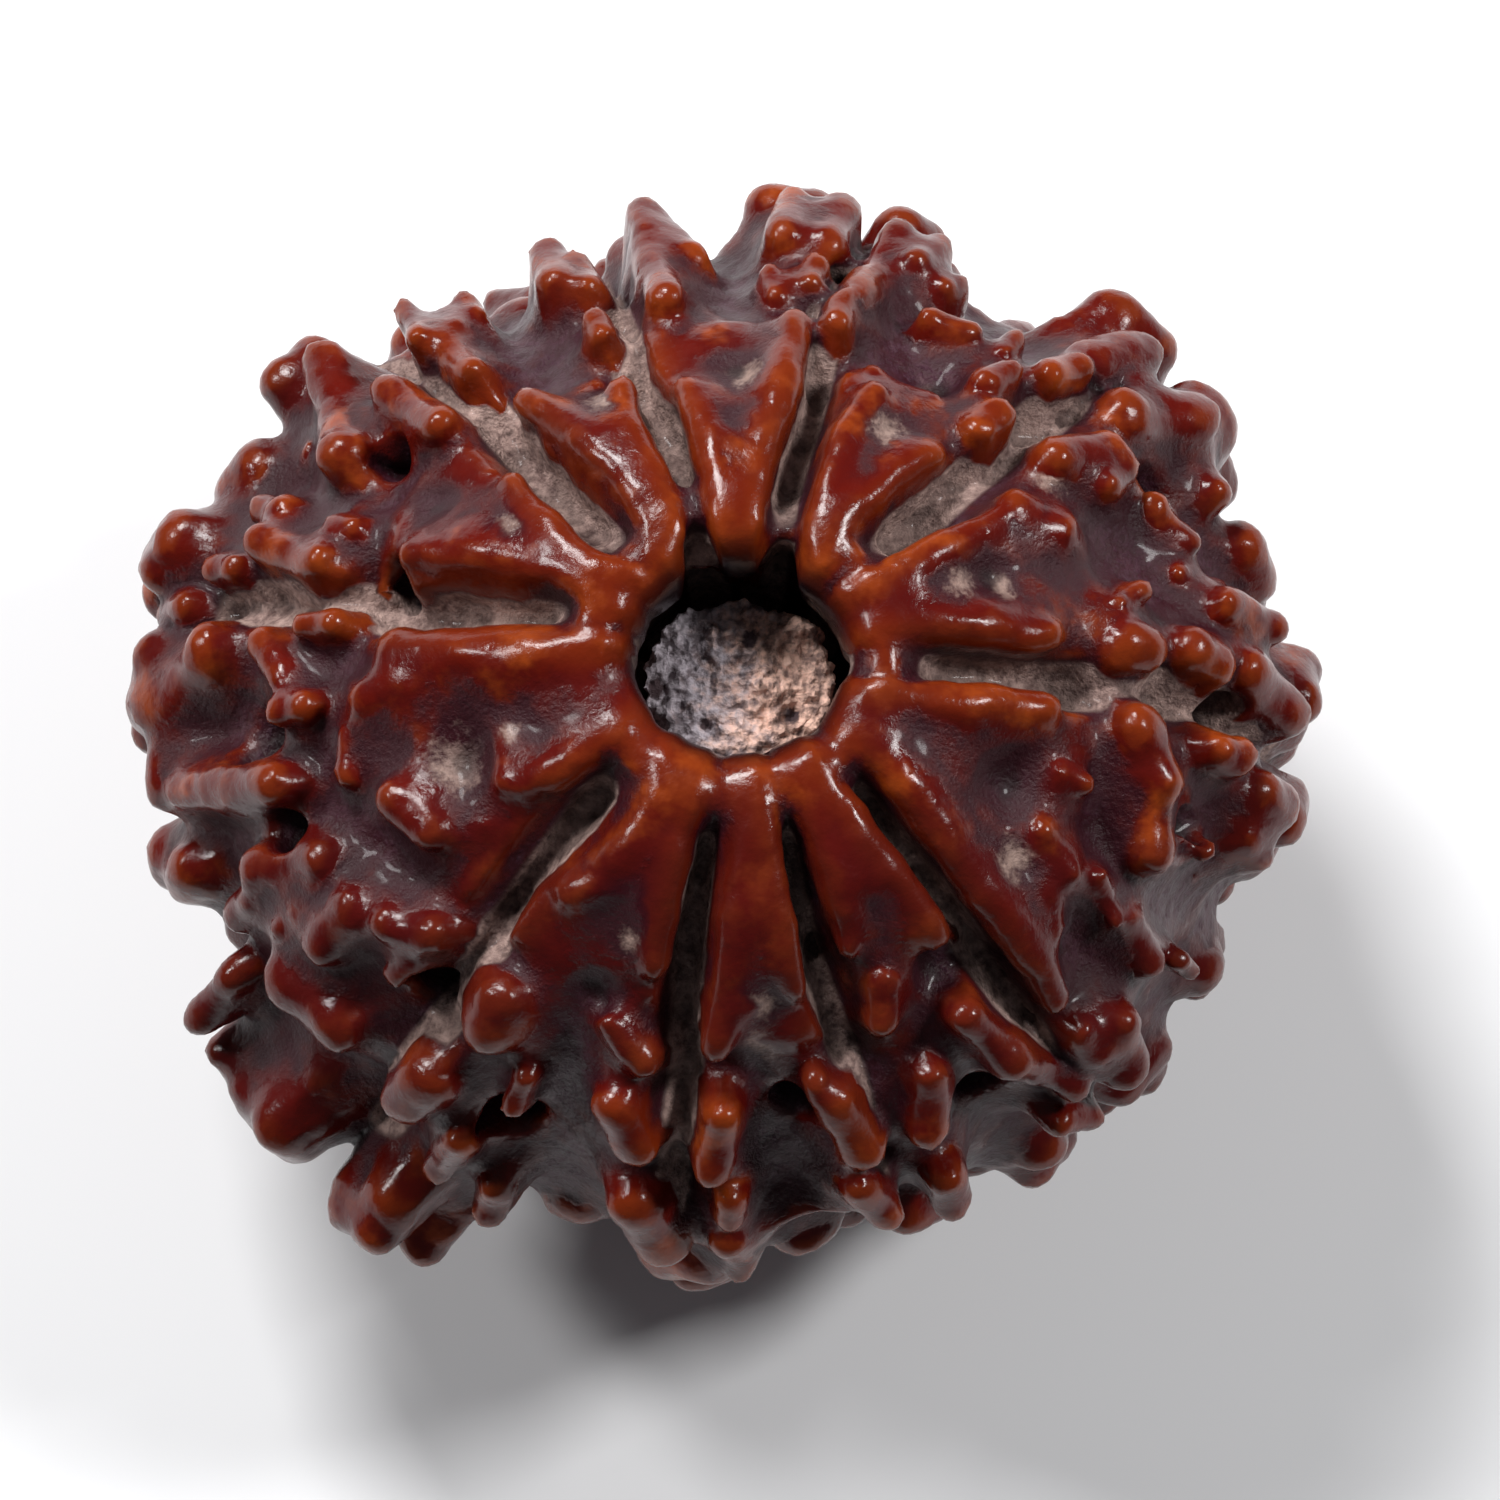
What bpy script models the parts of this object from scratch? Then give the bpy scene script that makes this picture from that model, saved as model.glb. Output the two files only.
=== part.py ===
"""Ten mukhi rudraksha bead: the dried stone of the fruit, on the small flat spot at its blossom end.

The stone is one woody body. Ten clefts run from end to end over it, and each is edged by two ribs,
which break up into knobs towards the girdle. The stalk end opens into a canal with a plug of dry pith.
A place on the stone is a bearing, counter-clockwise from +X seen from above, and a colatitude, which is
0 at the stalk end, 90 on the girdle and 180 at the blossom end, both in degrees. From the lip inwards the
surface rolls over the lip, and with a colatitude under 0 it runs down the canal.
Sizes are in millimetres and are made metres at the end.
"""

import math
import random

import bmesh
import bpy
from mathutils import Matrix, Vector, noise

MM = 0.001

# The surface that the tips reach: half its width, half its depth, its height above and below the girdle.
REACH_X = 12.9
REACH_Y = 12.1
REACH_UP = 9.6
REACH_DOWN = 9.7
GIRDLE_HEIGHT = 9.4

# How far the web between a lobe's two ribs, the ground between the knobs and the cleft floors lie below
# the tips.
LIP_DEPTH = 0.15
LIP_CLEFT_DEPTH = 0.8
WEB_DEPTH = 0.8
WEB_FULL_BY = 22.0
GROUND_AT_END = 1.0
GROUND_AT_GIRDLE = 2.0
CLEFT_DEPTH = 0.45
CLEFT_FLOOR = 0.42
CLEFT_WALL = 0.4
PIT_DEPTH = 1.1
PIT_BAND = (25.0, 80.0)

# The canal at the stalk end and the lip that the ribs roll over.
LIP_COLATITUDE = 15.0
LIP_RADIUS = 1.0
CANAL_STEP = 0.4
CANAL_END = -12.0
CANAL_WIDENS = 0.25

# The plug of pith in the canal: its radius at some bearings, and the heights of its foot and its top.
PITH_OUTLINE = (
    (0, 2.00), (33, 2.05), (47, 2.00), (60, 1.50), (72, 1.75), (90, 1.85), (110, 1.80),
    (138, 2.00), (160, 2.00), (180, 1.95), (210, 1.90), (240, 1.90), (270, 1.95), (300, 1.85),
    (330, 2.05), (360, 2.00),
)
PITH_FOOT = 13.2
PITH_TOP = 15.9
PITH_LUMP = 0.55
PITH_ROUGHNESS = 0.22
PITH_COLUMNS = 32
PITH_RINGS = (
    (0.86, 0.0), (1.0, 0.08), (0.97, 0.4), (1.0, 0.7), (0.98, 0.88), (0.90, 0.97), (0.78, 1.0),
    (0.62, 1.0), (0.45, 1.0), (0.28, 1.0), (0.12, 1.0),
)

# The scar at the blossom end, which fills the middle of the flat spot.
SCAR_RADIUS = 3.0
SCAR_EDGE = 0.6

# How a rib or knob is drawn: steps round its crest, then the depth and width of its flanks down to its
# root. Ribs are narrower where they roll over the lip.
CREST_STEPS = 8
RIB_FLANKS = ((0.35, 1.00), (0.70, 1.04), (1.00, 1.15))
KNOB_FLANKS = ((0.25, 1.10), (0.55, 1.40), (0.80, 1.85), (1.00, 2.40))
RIB_NARROW = 0.72
RIB_FULL_BY = 24.0
ROOT = 0.35
LEAST_FLANK = 0.1
STEP = 0.35
RIB_END_STEP = 0.2
END_TURNS = (25, 50, 75)

GRID_COLUMNS = 360
GRID_STEP = 1.5

VOXEL = 0.24
SMOOTH_ROUNDS = 2
SMOOTH_SHARE = 0.5
STONE_TRIANGLES = 11300
SEED = 10

STONE_COLOUR = (0.17, 0.025, 0.012)
STONE_ROUGHNESS = 0.3
PITH_COLOUR = (0.42, 0.33, 0.30)
PITH_DULLNESS = 0.85

# Bearings of each cleft at these colatitudes. Past the last it runs straight down.
CLEFT_STATIONS = (8.0, 20.0, 35.0, 50.0)
CLEFTS = (
    (356.0, 356.0, 358.0, 360.0),
    (40.0, 40.0, 42.0, 43.0),
    (69.0, 78.0, 77.0, 77.0),
    (109.0, 105.0, 108.5, 108.5),
    (137.0, 137.0, 132.5, 132.0),
    (168.0, 168.0, 168.5, 167.5),
    (224.0, 224.0, 226.0, 228.0),
    (258.5, 258.5, 260.0, 262.0),
    (283.0, 283.0, 283.5, 286.0),
    (310.5, 310.5, 311.0, 310.5),
)

# The colatitude where each cleft starts. Two run over the lip into the canal.
CLEFT_STARTS = (15.0, 15.0, -9.0, -9.0, 15.0, 15.0, 15.0, 16.0, 16.0, 15.0)
CLEFT_RISE = 4.0

# The colatitude where the web between two ribs ends, in the lobe that follows each cleft, and how soon it
# drops away.
WEB_ENDS = (38.0, 36.0, 43.0, 37.0, 40.0, 38.0, 38.0, 42.0, 36.0, 36.0)
WEB_DROP = 5.0

# Deep pits among the knobs, each its half width and place.
PITS = (
    (0.55, (30, 62)),
    (0.45, (143.5, 50)),
    (0.45, (162, 39.5)),
    (0.40, (164.5, 52)),
    (0.65, (187.5, 59)),
    (0.60, (198, 56)),
    (0.50, (226, 51)),
    (0.60, (243, 67)),
    (0.45, (250, 56)),
    (0.50, (277, 52)),
    (0.45, (286, 34)),
    (0.50, (300, 62)),
    (0.45, (311.5, 48)),
    (0.55, (342, 56)),
    (0.50, (358, 48)),
    (0.55, (358, 60)),
    (0.45, (77, 58)),
)

# Each rib is its half width and the places that its crest passes, from inside the canal outwards.
RIBS = (
    (0.55, (14, -2), (13, 8), (12, 18), (7, 29), (7, 34)),
    (0.45, (33, -2), (32, 8), (30, 18), (31, 26), (32, 33)),
    (0.48, (46, -2), (50, 8), (56, 16), (54, 24), (51, 33)),
    (0.42, (51, -2), (55, 8), (63, 18), (67, 28), (66, 36)),
    (0.50, (88, -2), (87, 8), (86, 18), (83, 30), (82, 45)),
    (0.45, (93, -2), (94, 8), (96, 18), (98, 27), (100, 34)),
    (0.40, (127, -2), (122, 8), (114, 18), (113, 28), (111, 36)),
    (0.46, (131, -2), (127, 8), (120, 19), (122, 30), (125, 41)),
    (0.48, (138, -2), (140, 8), (146, 17), (142, 26), (139, 33)),
    (0.55, (158, -2), (156, 8), (151, 19), (155, 29), (158, 39)),
    (0.70, (174, -2), (176, 8), (179, 17), (178, 28), (176, 39)),
    (0.55, (192, -2), (194, 6), (195, 13)),
    (0.50, (211, -2), (211, 8), (214, 17), (211, 25), (209, 29)),
    (0.62, (236, -2), (239, 8), (243, 17), (240, 27), (236, 33)),
    (0.42, (252, -2), (252, 8), (252, 18), (254, 30), (255, 36)),
    (0.46, (271, -2), (272, 8), (272, 20), (269, 32), (267, 45)),
    (0.36, (277, 4), (277, 18), (278, 30), (279, 38)),
    (0.44, (292, -2), (293, 8), (294, 18), (292, 28), (290, 35)),
    (0.46, (303, -2), (302, 8), (301, 18), (304, 30), (304, 38)),
    (0.48, (324, -2), (325, 8), (323, 18), (317, 28), (315, 41), (313, 54)),
    (0.52, (340, -2), (341, 8), (345, 18), (350, 27), (351, 34)),
)

# Each knob is its half width, how far its crest stays below the tips' surface, and where its crest begins
# and ends. They follow the lobes between the clefts, counter-clockwise from the cleft at bearing 0.
KNOBS = (
    (0.68, 0.0, (5, 41), (5, 43)),
    (0.59, 0.0, (5, 51), (4, 54)),
    (0.68, 0.0, (4, 62), (1, 72)),
    (0.45, 0.0, (12, 58), (10, 68)),
    (0.27, 0.3, (12, 41), (14, 45)),
    (0.68, 0.2, (32, 34), (27, 37)),
    (0.63, 0.0, (37, 43), (35, 50)),
    (0.50, 0.1, (31, 47), (33, 51)),
    (0.77, 0.0, (39, 60), (36, 72)),
    (0.45, 0.2, (32, 75), (28, 72)),
    (0.50, 0.5, (26, 55), (22, 58)),
    (0.36, 0.7, (17, 55), (15, 62)),
    (0.45, 0.0, (48, 37), (48, 40)),
    (0.41, 0.1, (53, 44), (52, 48)),
    (0.32, 0.4, (55, 53), (55, 57)),
    (0.45, 0.1, (48, 53), (47, 58)),
    (0.72, 0.0, (47, 64), (45, 72)),
    (0.36, 0.2, (42, 66), (42, 68)),
    (0.41, 0.0, (76, 43), (76, 47)),
    (0.45, 0.1, (75, 50), (73, 68)),
    (0.45, 0.0, (70, 62), (69, 70)),
    (0.32, 0.3, (66, 61), (65, 64)),
    (0.36, 0.4, (65, 52), (60, 53)),
    (0.27, 0.7, (68, 39), (58, 39)),
    (0.50, 0.0, (85, 62), (84.5, 72)),
    (0.56, 0.0, (80, 62), (80, 72)),
    (0.36, 0.2, (81, 51), (81, 55)),
    (0.36, 0.4, (85, 49), (86, 53)),
    (0.47, 0.0, (100, 47), (100, 71)),
    (0.45, 0.3, (96, 60), (99, 70)),
    (0.27, 0.7, (99, 42), (88, 43)),
    (0.41, 0.1, (110, 43), (110, 46)),
    (0.30, 0.4, (106, 16), (106, 18)),
    (0.45, 0.2, (109, 55), (109, 62)),
    (0.50, 0.0, (112, 57), (111, 68)),
    (0.45, 0.0, (128, 48), (128, 56)),
    (0.41, 0.1, (125.5, 58), (124.5, 63)),
    (0.32, 0.3, (122, 61), (122, 65)),
    (0.32, -0.3, (129.5, 57), (127.5, 67)),
    (0.50, 0.0, (137, 44), (136.5, 56)),
    (0.68, 0.0, (146, 56), (137.5, 71)),
    (0.41, 0.2, (145.5, 71), (146, 76)),
    (0.50, 0.0, (162, 49), (160, 60)),
    (0.41, 0.1, (163, 66), (163, 70)),
    (0.85, 0.0, (160, 80), (160, 86)),
    (0.45, 0.3, (155, 62), (155, 67)),
    (0.41, 0.4, (156, 47), (156, 50)),
    (0.27, 0.7, (141, 36), (150, 37)),
    (0.54, 0.3, (167, 77), (167, 84)),
    (0.36, 0.3, (171, 45), (171, 49)),
    (0.59, 0.2, (182, 35), (184, 39)),
    (0.56, 0.0, (202, 38), (209, 36)),
    (0.27, 0.4, (212, 32), (214, 31)),
    (0.45, 0.1, (183, 48), (183, 51)),
    (0.38, 0.5, (189, 43), (194, 44)),
    (0.41, 0.3, (173, 56), (178, 52)),
    (0.85, -0.1, (173, 68), (177, 80)),
    (0.81, -0.1, (177, 80), (185, 82)),
    (0.56, 0.0, (192, 54), (187, 76)),
    (0.68, 0.3, (204, 53), (201, 63)),
    (0.63, 0.2, (195, 84), (195, 90)),
    (0.61, 0.0, (212, 51), (213, 57)),
    (0.50, 0.0, (217, 47), (222, 44)),
    (0.41, 0.4, (222, 49), (222, 52)),
    (0.41, 0.3, (208, 59), (208, 63)),
    (0.50, 0.4, (203, 68), (203, 74)),
    (0.90, 0.0, (214, 68), (220, 66)),
    (0.41, 0.2, (208, 80), (209, 88)),
    (0.45, 0.5, (212, 95), (212, 99)),
    (0.90, 0.2, (222, 92), (222, 98)),
    (0.77, 0.0, (236, 46), (236, 49)),
    (0.72, 0.0, (233, 62), (232, 68)),
    (0.32, 0.4, (243, 54), (243, 59)),
    (0.41, 0.2, (239, 70), (238, 80)),
    (0.72, 0.3, (235, 90), (235, 95)),
    (0.41, 0.2, (251, 42), (257, 46)),
    (0.59, 0.1, (255, 53), (258, 58)),
    (0.74, 0.0, (259, 70), (262, 78)),
    (0.45, 0.4, (244, 80), (244, 86)),
    (0.32, 0.9, (240, 41), (252, 40)),
    (0.45, 0.1, (268, 52), (267, 60)),
    (0.59, 0.1, (282, 52), (284, 59)),
    (0.27, 0.3, (280, 48), (280, 50)),
    (0.34, 0.2, (269, 66), (269, 70)),
    (0.50, 0.1, (269, 76), (270, 86)),
    (0.45, 0.1, (283, 66), (285, 73)),
    (0.23, 0.6, (272, 76), (281, 73)),
    (0.45, 0.2, (293, 38), (291, 42)),
    (0.50, 0.0, (302, 46), (304, 54)),
    (0.54, 0.1, (294, 52), (292, 59)),
    (0.47, 0.1, (292, 70), (292, 76)),
    (0.41, 0.2, (305, 56), (309, 66)),
    (0.41, 0.3, (306, 72), (309, 76)),
    (0.41, 0.1, (313, 58), (313, 62)),
    (0.63, 0.0, (317, 62), (315, 69)),
    (0.36, 0.3, (322, 41), (319, 44)),
    (0.38, 0.2, (330, 36), (327, 41)),
    (0.32, 0.3, (329, 45), (326, 50)),
    (0.45, 0.4, (327, 53), (325, 60)),
    (0.27, 0.5, (328, 65), (328, 69)),
    (0.72, 0.0, (352, 43), (346, 47)),
    (0.59, 0.1, (346, 47), (337, 50)),
    (0.50, 0.1, (353, 56), (353, 59)),
    (0.68, 0.1, (350, 68), (350, 73)),
    (0.45, 0.4, (345, 68), (344, 73)),
    (0.32, 0.4, (341, 35), (341, 38)),
    (0.36, 0.6, (341, 56), (341, 60)),
)

# The outline seen from above, as bearings and how far the tips there reach past their usual surface. They
# are the tips near the lowest places that the photograph shows, which lie lower in front than behind.
OUTLINE = (
    (0, -0.5), (7, -0.2), (11.5, -1.3), (17, -0.45), (22, -0.85), (25, -1.1), (29, -0.4), (33, 0.2),
    (38, 0.45), (43, 0.0), (47, 0.65), (51, 0.3), (53, -0.9), (56, -0.85), (60, -1.7), (65, -0.6),
    (70, 0.1), (74, 0.1), (76, -1.1), (78, 0.2), (85.5, 0.2), (88, -1.5), (92, -1.8), (96, -0.6),
    (100, 0.1), (102.5, -1.6), (104.5, -1.6), (107, 0.15), (111, -0.1), (114, -1.3), (117, -1.4),
    (121, 0.05), (124.5, -0.3), (127, 0.45), (129.5, -1.1), (131.5, 0.5), (136, 0.6), (143, 0.3),
    (146, -1.3), (148, -1.4), (151, -0.15), (156, 0.5), (161, 0.8), (167, 0.05), (174, 0.45), (184, 0.2),
    (187, -0.3), (189.5, 0.65), (193, 0.0), (202, -0.45), (205, -1.2), (207, 0.6), (212, 0.7),
    (214.5, 0.0), (219, 1.1), (222, 0.9), (226, 0.1), (230, 1.2), (234, 1.2), (237.5, 0.3), (241, 0.8),
    (244.5, 0.1), (248, -1.7), (251, -1.3), (255, -0.3), (261, -0.05), (263.5, -0.6), (266, -0.05),
    (270, -0.05), (275, -0.8), (279, -1.4), (284, -1.2), (287, -0.2), (290, -1.7), (293, 0.0),
    (297, -0.9), (301, -1.8), (305, -1.1), (309, -0.4), (312.5, -1.4), (315.5, -0.55), (320, -0.8),
    (324, -1.8), (328, -1.9), (333, -1.1), (338, -1.7), (342.5, -0.7), (347, -1.6), (351, -0.6),
    (360, -0.5),
)
OUTLINE_TILT = 12.0
OUTLINE_ABOVE = 20.0
OUTLINE_BELOW = 6.0
OUTLINE_FADE = 14.0
TIP_LOSS = 0.25

# Past the last place that the photograph shows, rows of knobs follow one rule on every lobe, down to the
# ribs round the blossom end.
RULE_ROWS = (84, 95, 106, 117, 127, 137, 146)
RULE_SPACING = 3.1
RULE_START = 84.0
RULE_START_TILT = 7.0
RULE_WANDER = 0.12
RULE_HALF_WIDTH = (0.60, 0.95)
RULE_LENGTH = 5.0
RULE_SHORTEST = 0.2
RULE_STRAY = 0.6
RULE_LEAN = 2.5
RULE_SINK = 0.35
RULE_RIB = (147, 156, 165, 173)
RULE_RIB_SIDES = (0.22, 0.78)
RULE_RIB_HALF_WIDTH = 0.55


def reach_point(bearing, colatitude):
    """The point of the tips' surface at a place, and the surface's normal there."""
    b = math.radians(bearing)
    c = math.radians(colatitude)
    up = REACH_UP if colatitude < 90 else REACH_DOWN
    way = Vector((math.sin(c) * math.cos(b), math.sin(c) * math.sin(b), math.cos(c)))
    point = Vector((way.x * REACH_X, way.y * REACH_Y, way.z * up + GIRDLE_HEIGHT))
    normal = Vector((way.x / REACH_X, way.y / REACH_Y, way.z / up)).normalized()
    return point, normal


def place(bearing, colatitude, sink):
    """A point of the stone, sunk below the tips' surface, and the normal there."""
    if colatitude >= LIP_COLATITUDE:
        point, normal = reach_point(bearing, colatitude)
        return point - normal * sink, normal
    point, normal = reach_point(bearing, LIP_COLATITUDE)
    centre = point - normal * LIP_RADIUS
    outwards = Vector((normal.x, normal.y, 0)).normalized()
    tilt = math.atan2(math.hypot(normal.x, normal.y), normal.z)
    share = min(1.0, (LIP_COLATITUDE - colatitude) / LIP_COLATITUDE)
    turn = tilt - (tilt + math.pi / 2) * share
    normal = outwards * math.sin(turn) + Vector((0, 0, math.cos(turn)))
    drop = Vector((0, 0, min(0.0, colatitude) * CANAL_STEP))
    return centre + normal * (LIP_RADIUS - sink) + drop, normal


def ease(share):
    """0 to 1 with a soft start and end."""
    share = min(1.0, max(0.0, share))
    return share * share * (3 - 2 * share)


def ground_depth(colatitude):
    """How far the ground between the knobs lies below the tips."""
    share = math.sin(math.radians(max(0.0, colatitude))) ** 2
    return GROUND_AT_END + (GROUND_AT_GIRDLE - GROUND_AT_END) * share


def cleft_bearing(cleft, colatitude):
    """The bearing of a cleft where it crosses a colatitude."""
    for k in range(len(CLEFT_STATIONS) - 1):
        low, high = CLEFT_STATIONS[k:k + 2]
        if colatitude < high:
            share = max(0.0, (colatitude - low) / (high - low))
            return cleft[k] + (cleft[k + 1] - cleft[k]) * share
    return cleft[-1]


def pit_depth(bearing, colatitude):
    """How much deeper the surface lies in a pit."""
    here, _ = reach_point(bearing, colatitude)
    for half_width, place_of_pit in PITS:
        away = (here - reach_point(*place_of_pit)[0]).length
        if away < 2 * half_width:
            return PIT_DEPTH * (1 - ease(away / half_width - 0.5))
    return 0.0


def core_depth(bearing, colatitude):
    """How far the core lies below the tips: webs, then the ground, with clefts and pits sunk in them."""
    degree = math.radians(1) * REACH_X * math.sin(math.radians(max(colatitude, LIP_COLATITUDE)))
    past = [(bearing - cleft_bearing(cleft, colatitude)) % 360 for cleft in CLEFTS]
    lobe = past.index(min(past))
    apart = [min(turn, 360 - turn) for turn in past]
    nearest = apart.index(min(apart))
    away = apart[nearest] * degree

    past_lip = ease((colatitude - LIP_COLATITUDE) / (WEB_FULL_BY - LIP_COLATITUDE))
    web = LIP_DEPTH + (WEB_DEPTH - LIP_DEPTH) * past_lip
    ground = ground_depth(colatitude)
    floor = LIP_CLEFT_DEPTH + (ground + CLEFT_DEPTH - LIP_CLEFT_DEPTH) * past_lip
    depth = web + (ground - web) * ease((colatitude - WEB_ENDS[lobe]) / WEB_DROP)
    sunk = 1 - ease((away - CLEFT_FLOOR) / CLEFT_WALL)
    sunk *= ease((colatitude - CLEFT_STARTS[nearest]) / CLEFT_RISE)
    depth += (floor - depth) * sunk
    if PIT_BAND[0] < colatitude < PIT_BAND[1]:
        depth += pit_depth(bearing, colatitude)
    if colatitude > 90:
        depth *= ease((math.sin(math.radians(colatitude)) * REACH_X - SCAR_RADIUS) / SCAR_EDGE)
    if colatitude < 0:
        depth += CANAL_WIDENS * ease(-colatitude / CLEFT_RISE)
    return depth


def core(bm):
    """The stone without ribs and knobs: a turned grid from the canal's floor over the lip to the far end."""
    foot, _ = place(0, CANAL_END, LIP_DEPTH)
    rings = []
    row = CANAL_END
    while row < 180 - GRID_STEP / 2:
        ring = []
        for k in range(GRID_COLUMNS):
            bearing = 360 * k / GRID_COLUMNS
            point, _ = place(bearing, row, core_depth(bearing, row))
            ring.append(bm.verts.new(point))
        rings.append(ring)
        row += GRID_STEP
    for inner, outer in zip(rings, rings[1:]):
        for k in range(GRID_COLUMNS):
            n = (k + 1) % GRID_COLUMNS
            bm.faces.new((inner[k], outer[k], outer[n], inner[n]))
    floor = bm.verts.new((0, 0, foot.z))
    end = bm.verts.new(reach_point(0, 180)[0])
    for k in range(GRID_COLUMNS):
        n = (k + 1) % GRID_COLUMNS
        bm.faces.new((floor, rings[0][k], rings[0][n]))
        bm.faces.new((end, rings[-1][n], rings[-1][k]))


def crest_path(stations):
    """Places along a crest: a smooth curve through its stations, a fixed step apart."""
    marks = [Vector(s) for s in stations]
    marks = [marks[0] * 2 - marks[1]] + marks + [marks[-1] * 2 - marks[-2]]
    path = []
    for a, b, c, d in zip(marks, marks[1:], marks[2:], marks[3:]):
        run = place(b.x, b.y, 0)[0] - place(c.x, c.y, 0)[0]
        steps = max(1, round(run.length / STEP))
        for k in range(steps):
            t = k / steps
            twice = 2 * b + (c - a) * t
            twice += (2 * a - 5 * b + 4 * c - d) * t ** 2
            twice += (3 * b - a - 3 * c + d) * t ** 3
            path.append(twice / 2)
    path.append(marks[-2])
    return path


def outline_reach(bearing):
    """How far the tips reach past their usual surface at the outline."""
    bearing %= 360
    for (a, low), (b, high) in zip(OUTLINE, OUTLINE[1:]):
        if bearing <= b:
            return low + (high - low) * (bearing - a) / (b - a)
    return OUTLINE[-1][1]


def crest_sink(outer_bearing, colatitude, sink):
    """How far a crest stays below the tips' surface. At the outline its outer end makes a tooth there."""
    edge = 90 - OUTLINE_TILT * math.sin(math.radians(outer_bearing))
    near = ease((colatitude - edge + OUTLINE_ABOVE) / OUTLINE_FADE)
    near *= 1 - ease((colatitude - edge - OUTLINE_BELOW) / OUTLINE_FADE)
    return sink + (-outline_reach(outer_bearing) - TIP_LOSS - sink) * near


def rib_narrowing(colatitude):
    """How much narrower a rib is where it rolls over the lip."""
    narrowest = LIP_COLATITUDE / 2
    share = ease((colatitude - narrowest) / (RIB_FULL_BY - narrowest))
    return RIB_NARROW + (1 - RIB_NARROW) * share


def crest_section(half_width, root_depth, flanks):
    """An outline across a rib or knob, as widths and heights: a round crest on flaring flanks."""
    outline = []
    for k in range(CREST_STEPS + 1):
        turn = math.pi * k / CREST_STEPS
        outline.append((half_width * math.cos(turn), half_width * (math.sin(turn) - 1)))
    flank = max(LEAST_FLANK, root_depth - half_width)
    for share, flare in flanks:
        outline.append((-half_width * flare, -half_width - flank * share))
    for share, flare in reversed(flanks):
        outline.append((half_width * flare, -half_width - flank * share))
    return outline


def crest(bm, half_width, sink, stations, flanks=KNOB_FLANKS):
    """A rib or a knob: a section along its crest, with round ends, down to a root inside the core."""
    path = crest_path(stations)
    frames = []
    for bearing, colatitude in path:
        sunk = crest_sink(stations[-1][0], colatitude, sink)
        point, normal = place(bearing, colatitude, sunk)
        depth = ground_depth(colatitude) + CLEFT_DEPTH + ROOT - sunk
        width = half_width
        if flanks is RIB_FLANKS:
            width *= rib_narrowing(colatitude)
        frames.append((point, normal, depth, width))
    first = (frames[0][0] - frames[1][0]).normalized()
    last = (frames[-1][0] - frames[-2][0]).normalized()
    sections = [(frames[0], first, math.radians(turn)) for turn in reversed(END_TURNS)]
    sections += [(frame, Vector(), 0.0) for frame in frames]
    sections += [(frames[-1], last, math.radians(turn)) for turn in END_TURNS]
    centres = [frame[0] + way * frame[3] * math.sin(turn) for frame, way, turn in sections]
    rings = []
    for k, (frame, _, turn) in enumerate(sections):
        _, normal, depth, width = frame
        ahead = centres[min(k + 1, len(centres) - 1)] - centres[max(k - 1, 0)]
        side = ahead.cross(normal).normalized()
        narrow = width * math.cos(turn)
        top = centres[k] - normal * (width - narrow)
        outline = crest_section(narrow, depth - (width - narrow), flanks)
        rings.append([bm.verts.new(top + side * x + normal * y) for x, y in outline])
    for a, b in zip(rings, rings[1:]):
        for k in range(len(a)):
            n = (k + 1) % len(a)
            bm.faces.new((a[k], a[n], b[n], b[k]))
    bm.faces.new(list(reversed(rings[0])))
    bm.faces.new(rings[-1])


def rule_knobs(rng):
    """The knobs and ribs that the photograph doesn't show, on every lobe between two clefts."""
    lobes = []
    for k, cleft in enumerate(CLEFTS):
        left = cleft[2]
        right = CLEFTS[(k + 1) % len(CLEFTS)][2]
        lobes.append((left, (right - left) % 360))
    for row in RULE_ROWS:
        degree = math.radians(1) * REACH_X * math.sin(math.radians(row))
        for left, width in lobes:
            count = max(2, round(width * degree / RULE_SPACING))
            for k in range(count):
                bearing = left + width * (k + 0.5 + rng.uniform(-RULE_WANDER, RULE_WANDER)) / count
                colatitude = row + RULE_LENGTH * rng.uniform(-RULE_STRAY, RULE_STRAY)
                half_width = rng.uniform(*RULE_HALF_WIDTH)
                sink = RULE_SINK * rng.random()
                lean = rng.uniform(-RULE_LEAN, RULE_LEAN)
                half = RULE_LENGTH * rng.uniform(RULE_SHORTEST, 1.0) / 2
                start = RULE_START - RULE_START_TILT * math.sin(math.radians(bearing))
                if colatitude > start:
                    ends = ((bearing - lean, colatitude - half), (bearing + lean, colatitude + half))
                    yield half_width, sink, ends
    for left, width in lobes:
        for side in RULE_RIB_SIDES:
            bearing = left + width * side
            yield RULE_RIB_HALF_WIDTH, 0.0, [(bearing, c) for c in RULE_RIB]


def new_object(name, bm):
    """A named object with the mesh in bm."""
    bmesh.ops.recalc_face_normals(bm, faces=bm.faces)
    mesh = bpy.data.meshes.new(name)
    bm.to_mesh(mesh)
    bm.free()
    thing = bpy.data.objects.new(name, mesh)
    bpy.context.collection.objects.link(thing)
    return thing


def apply_modifiers(thing):
    """Puts the mesh that the modifiers make in the place of the object's own."""
    bpy.context.view_layer.update()
    mesh = bpy.data.meshes.new_from_object(thing.evaluated_get(bpy.context.evaluated_depsgraph_get()))
    thing.modifiers.clear()
    thing.data = mesh
    mesh.name = thing.name


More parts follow.
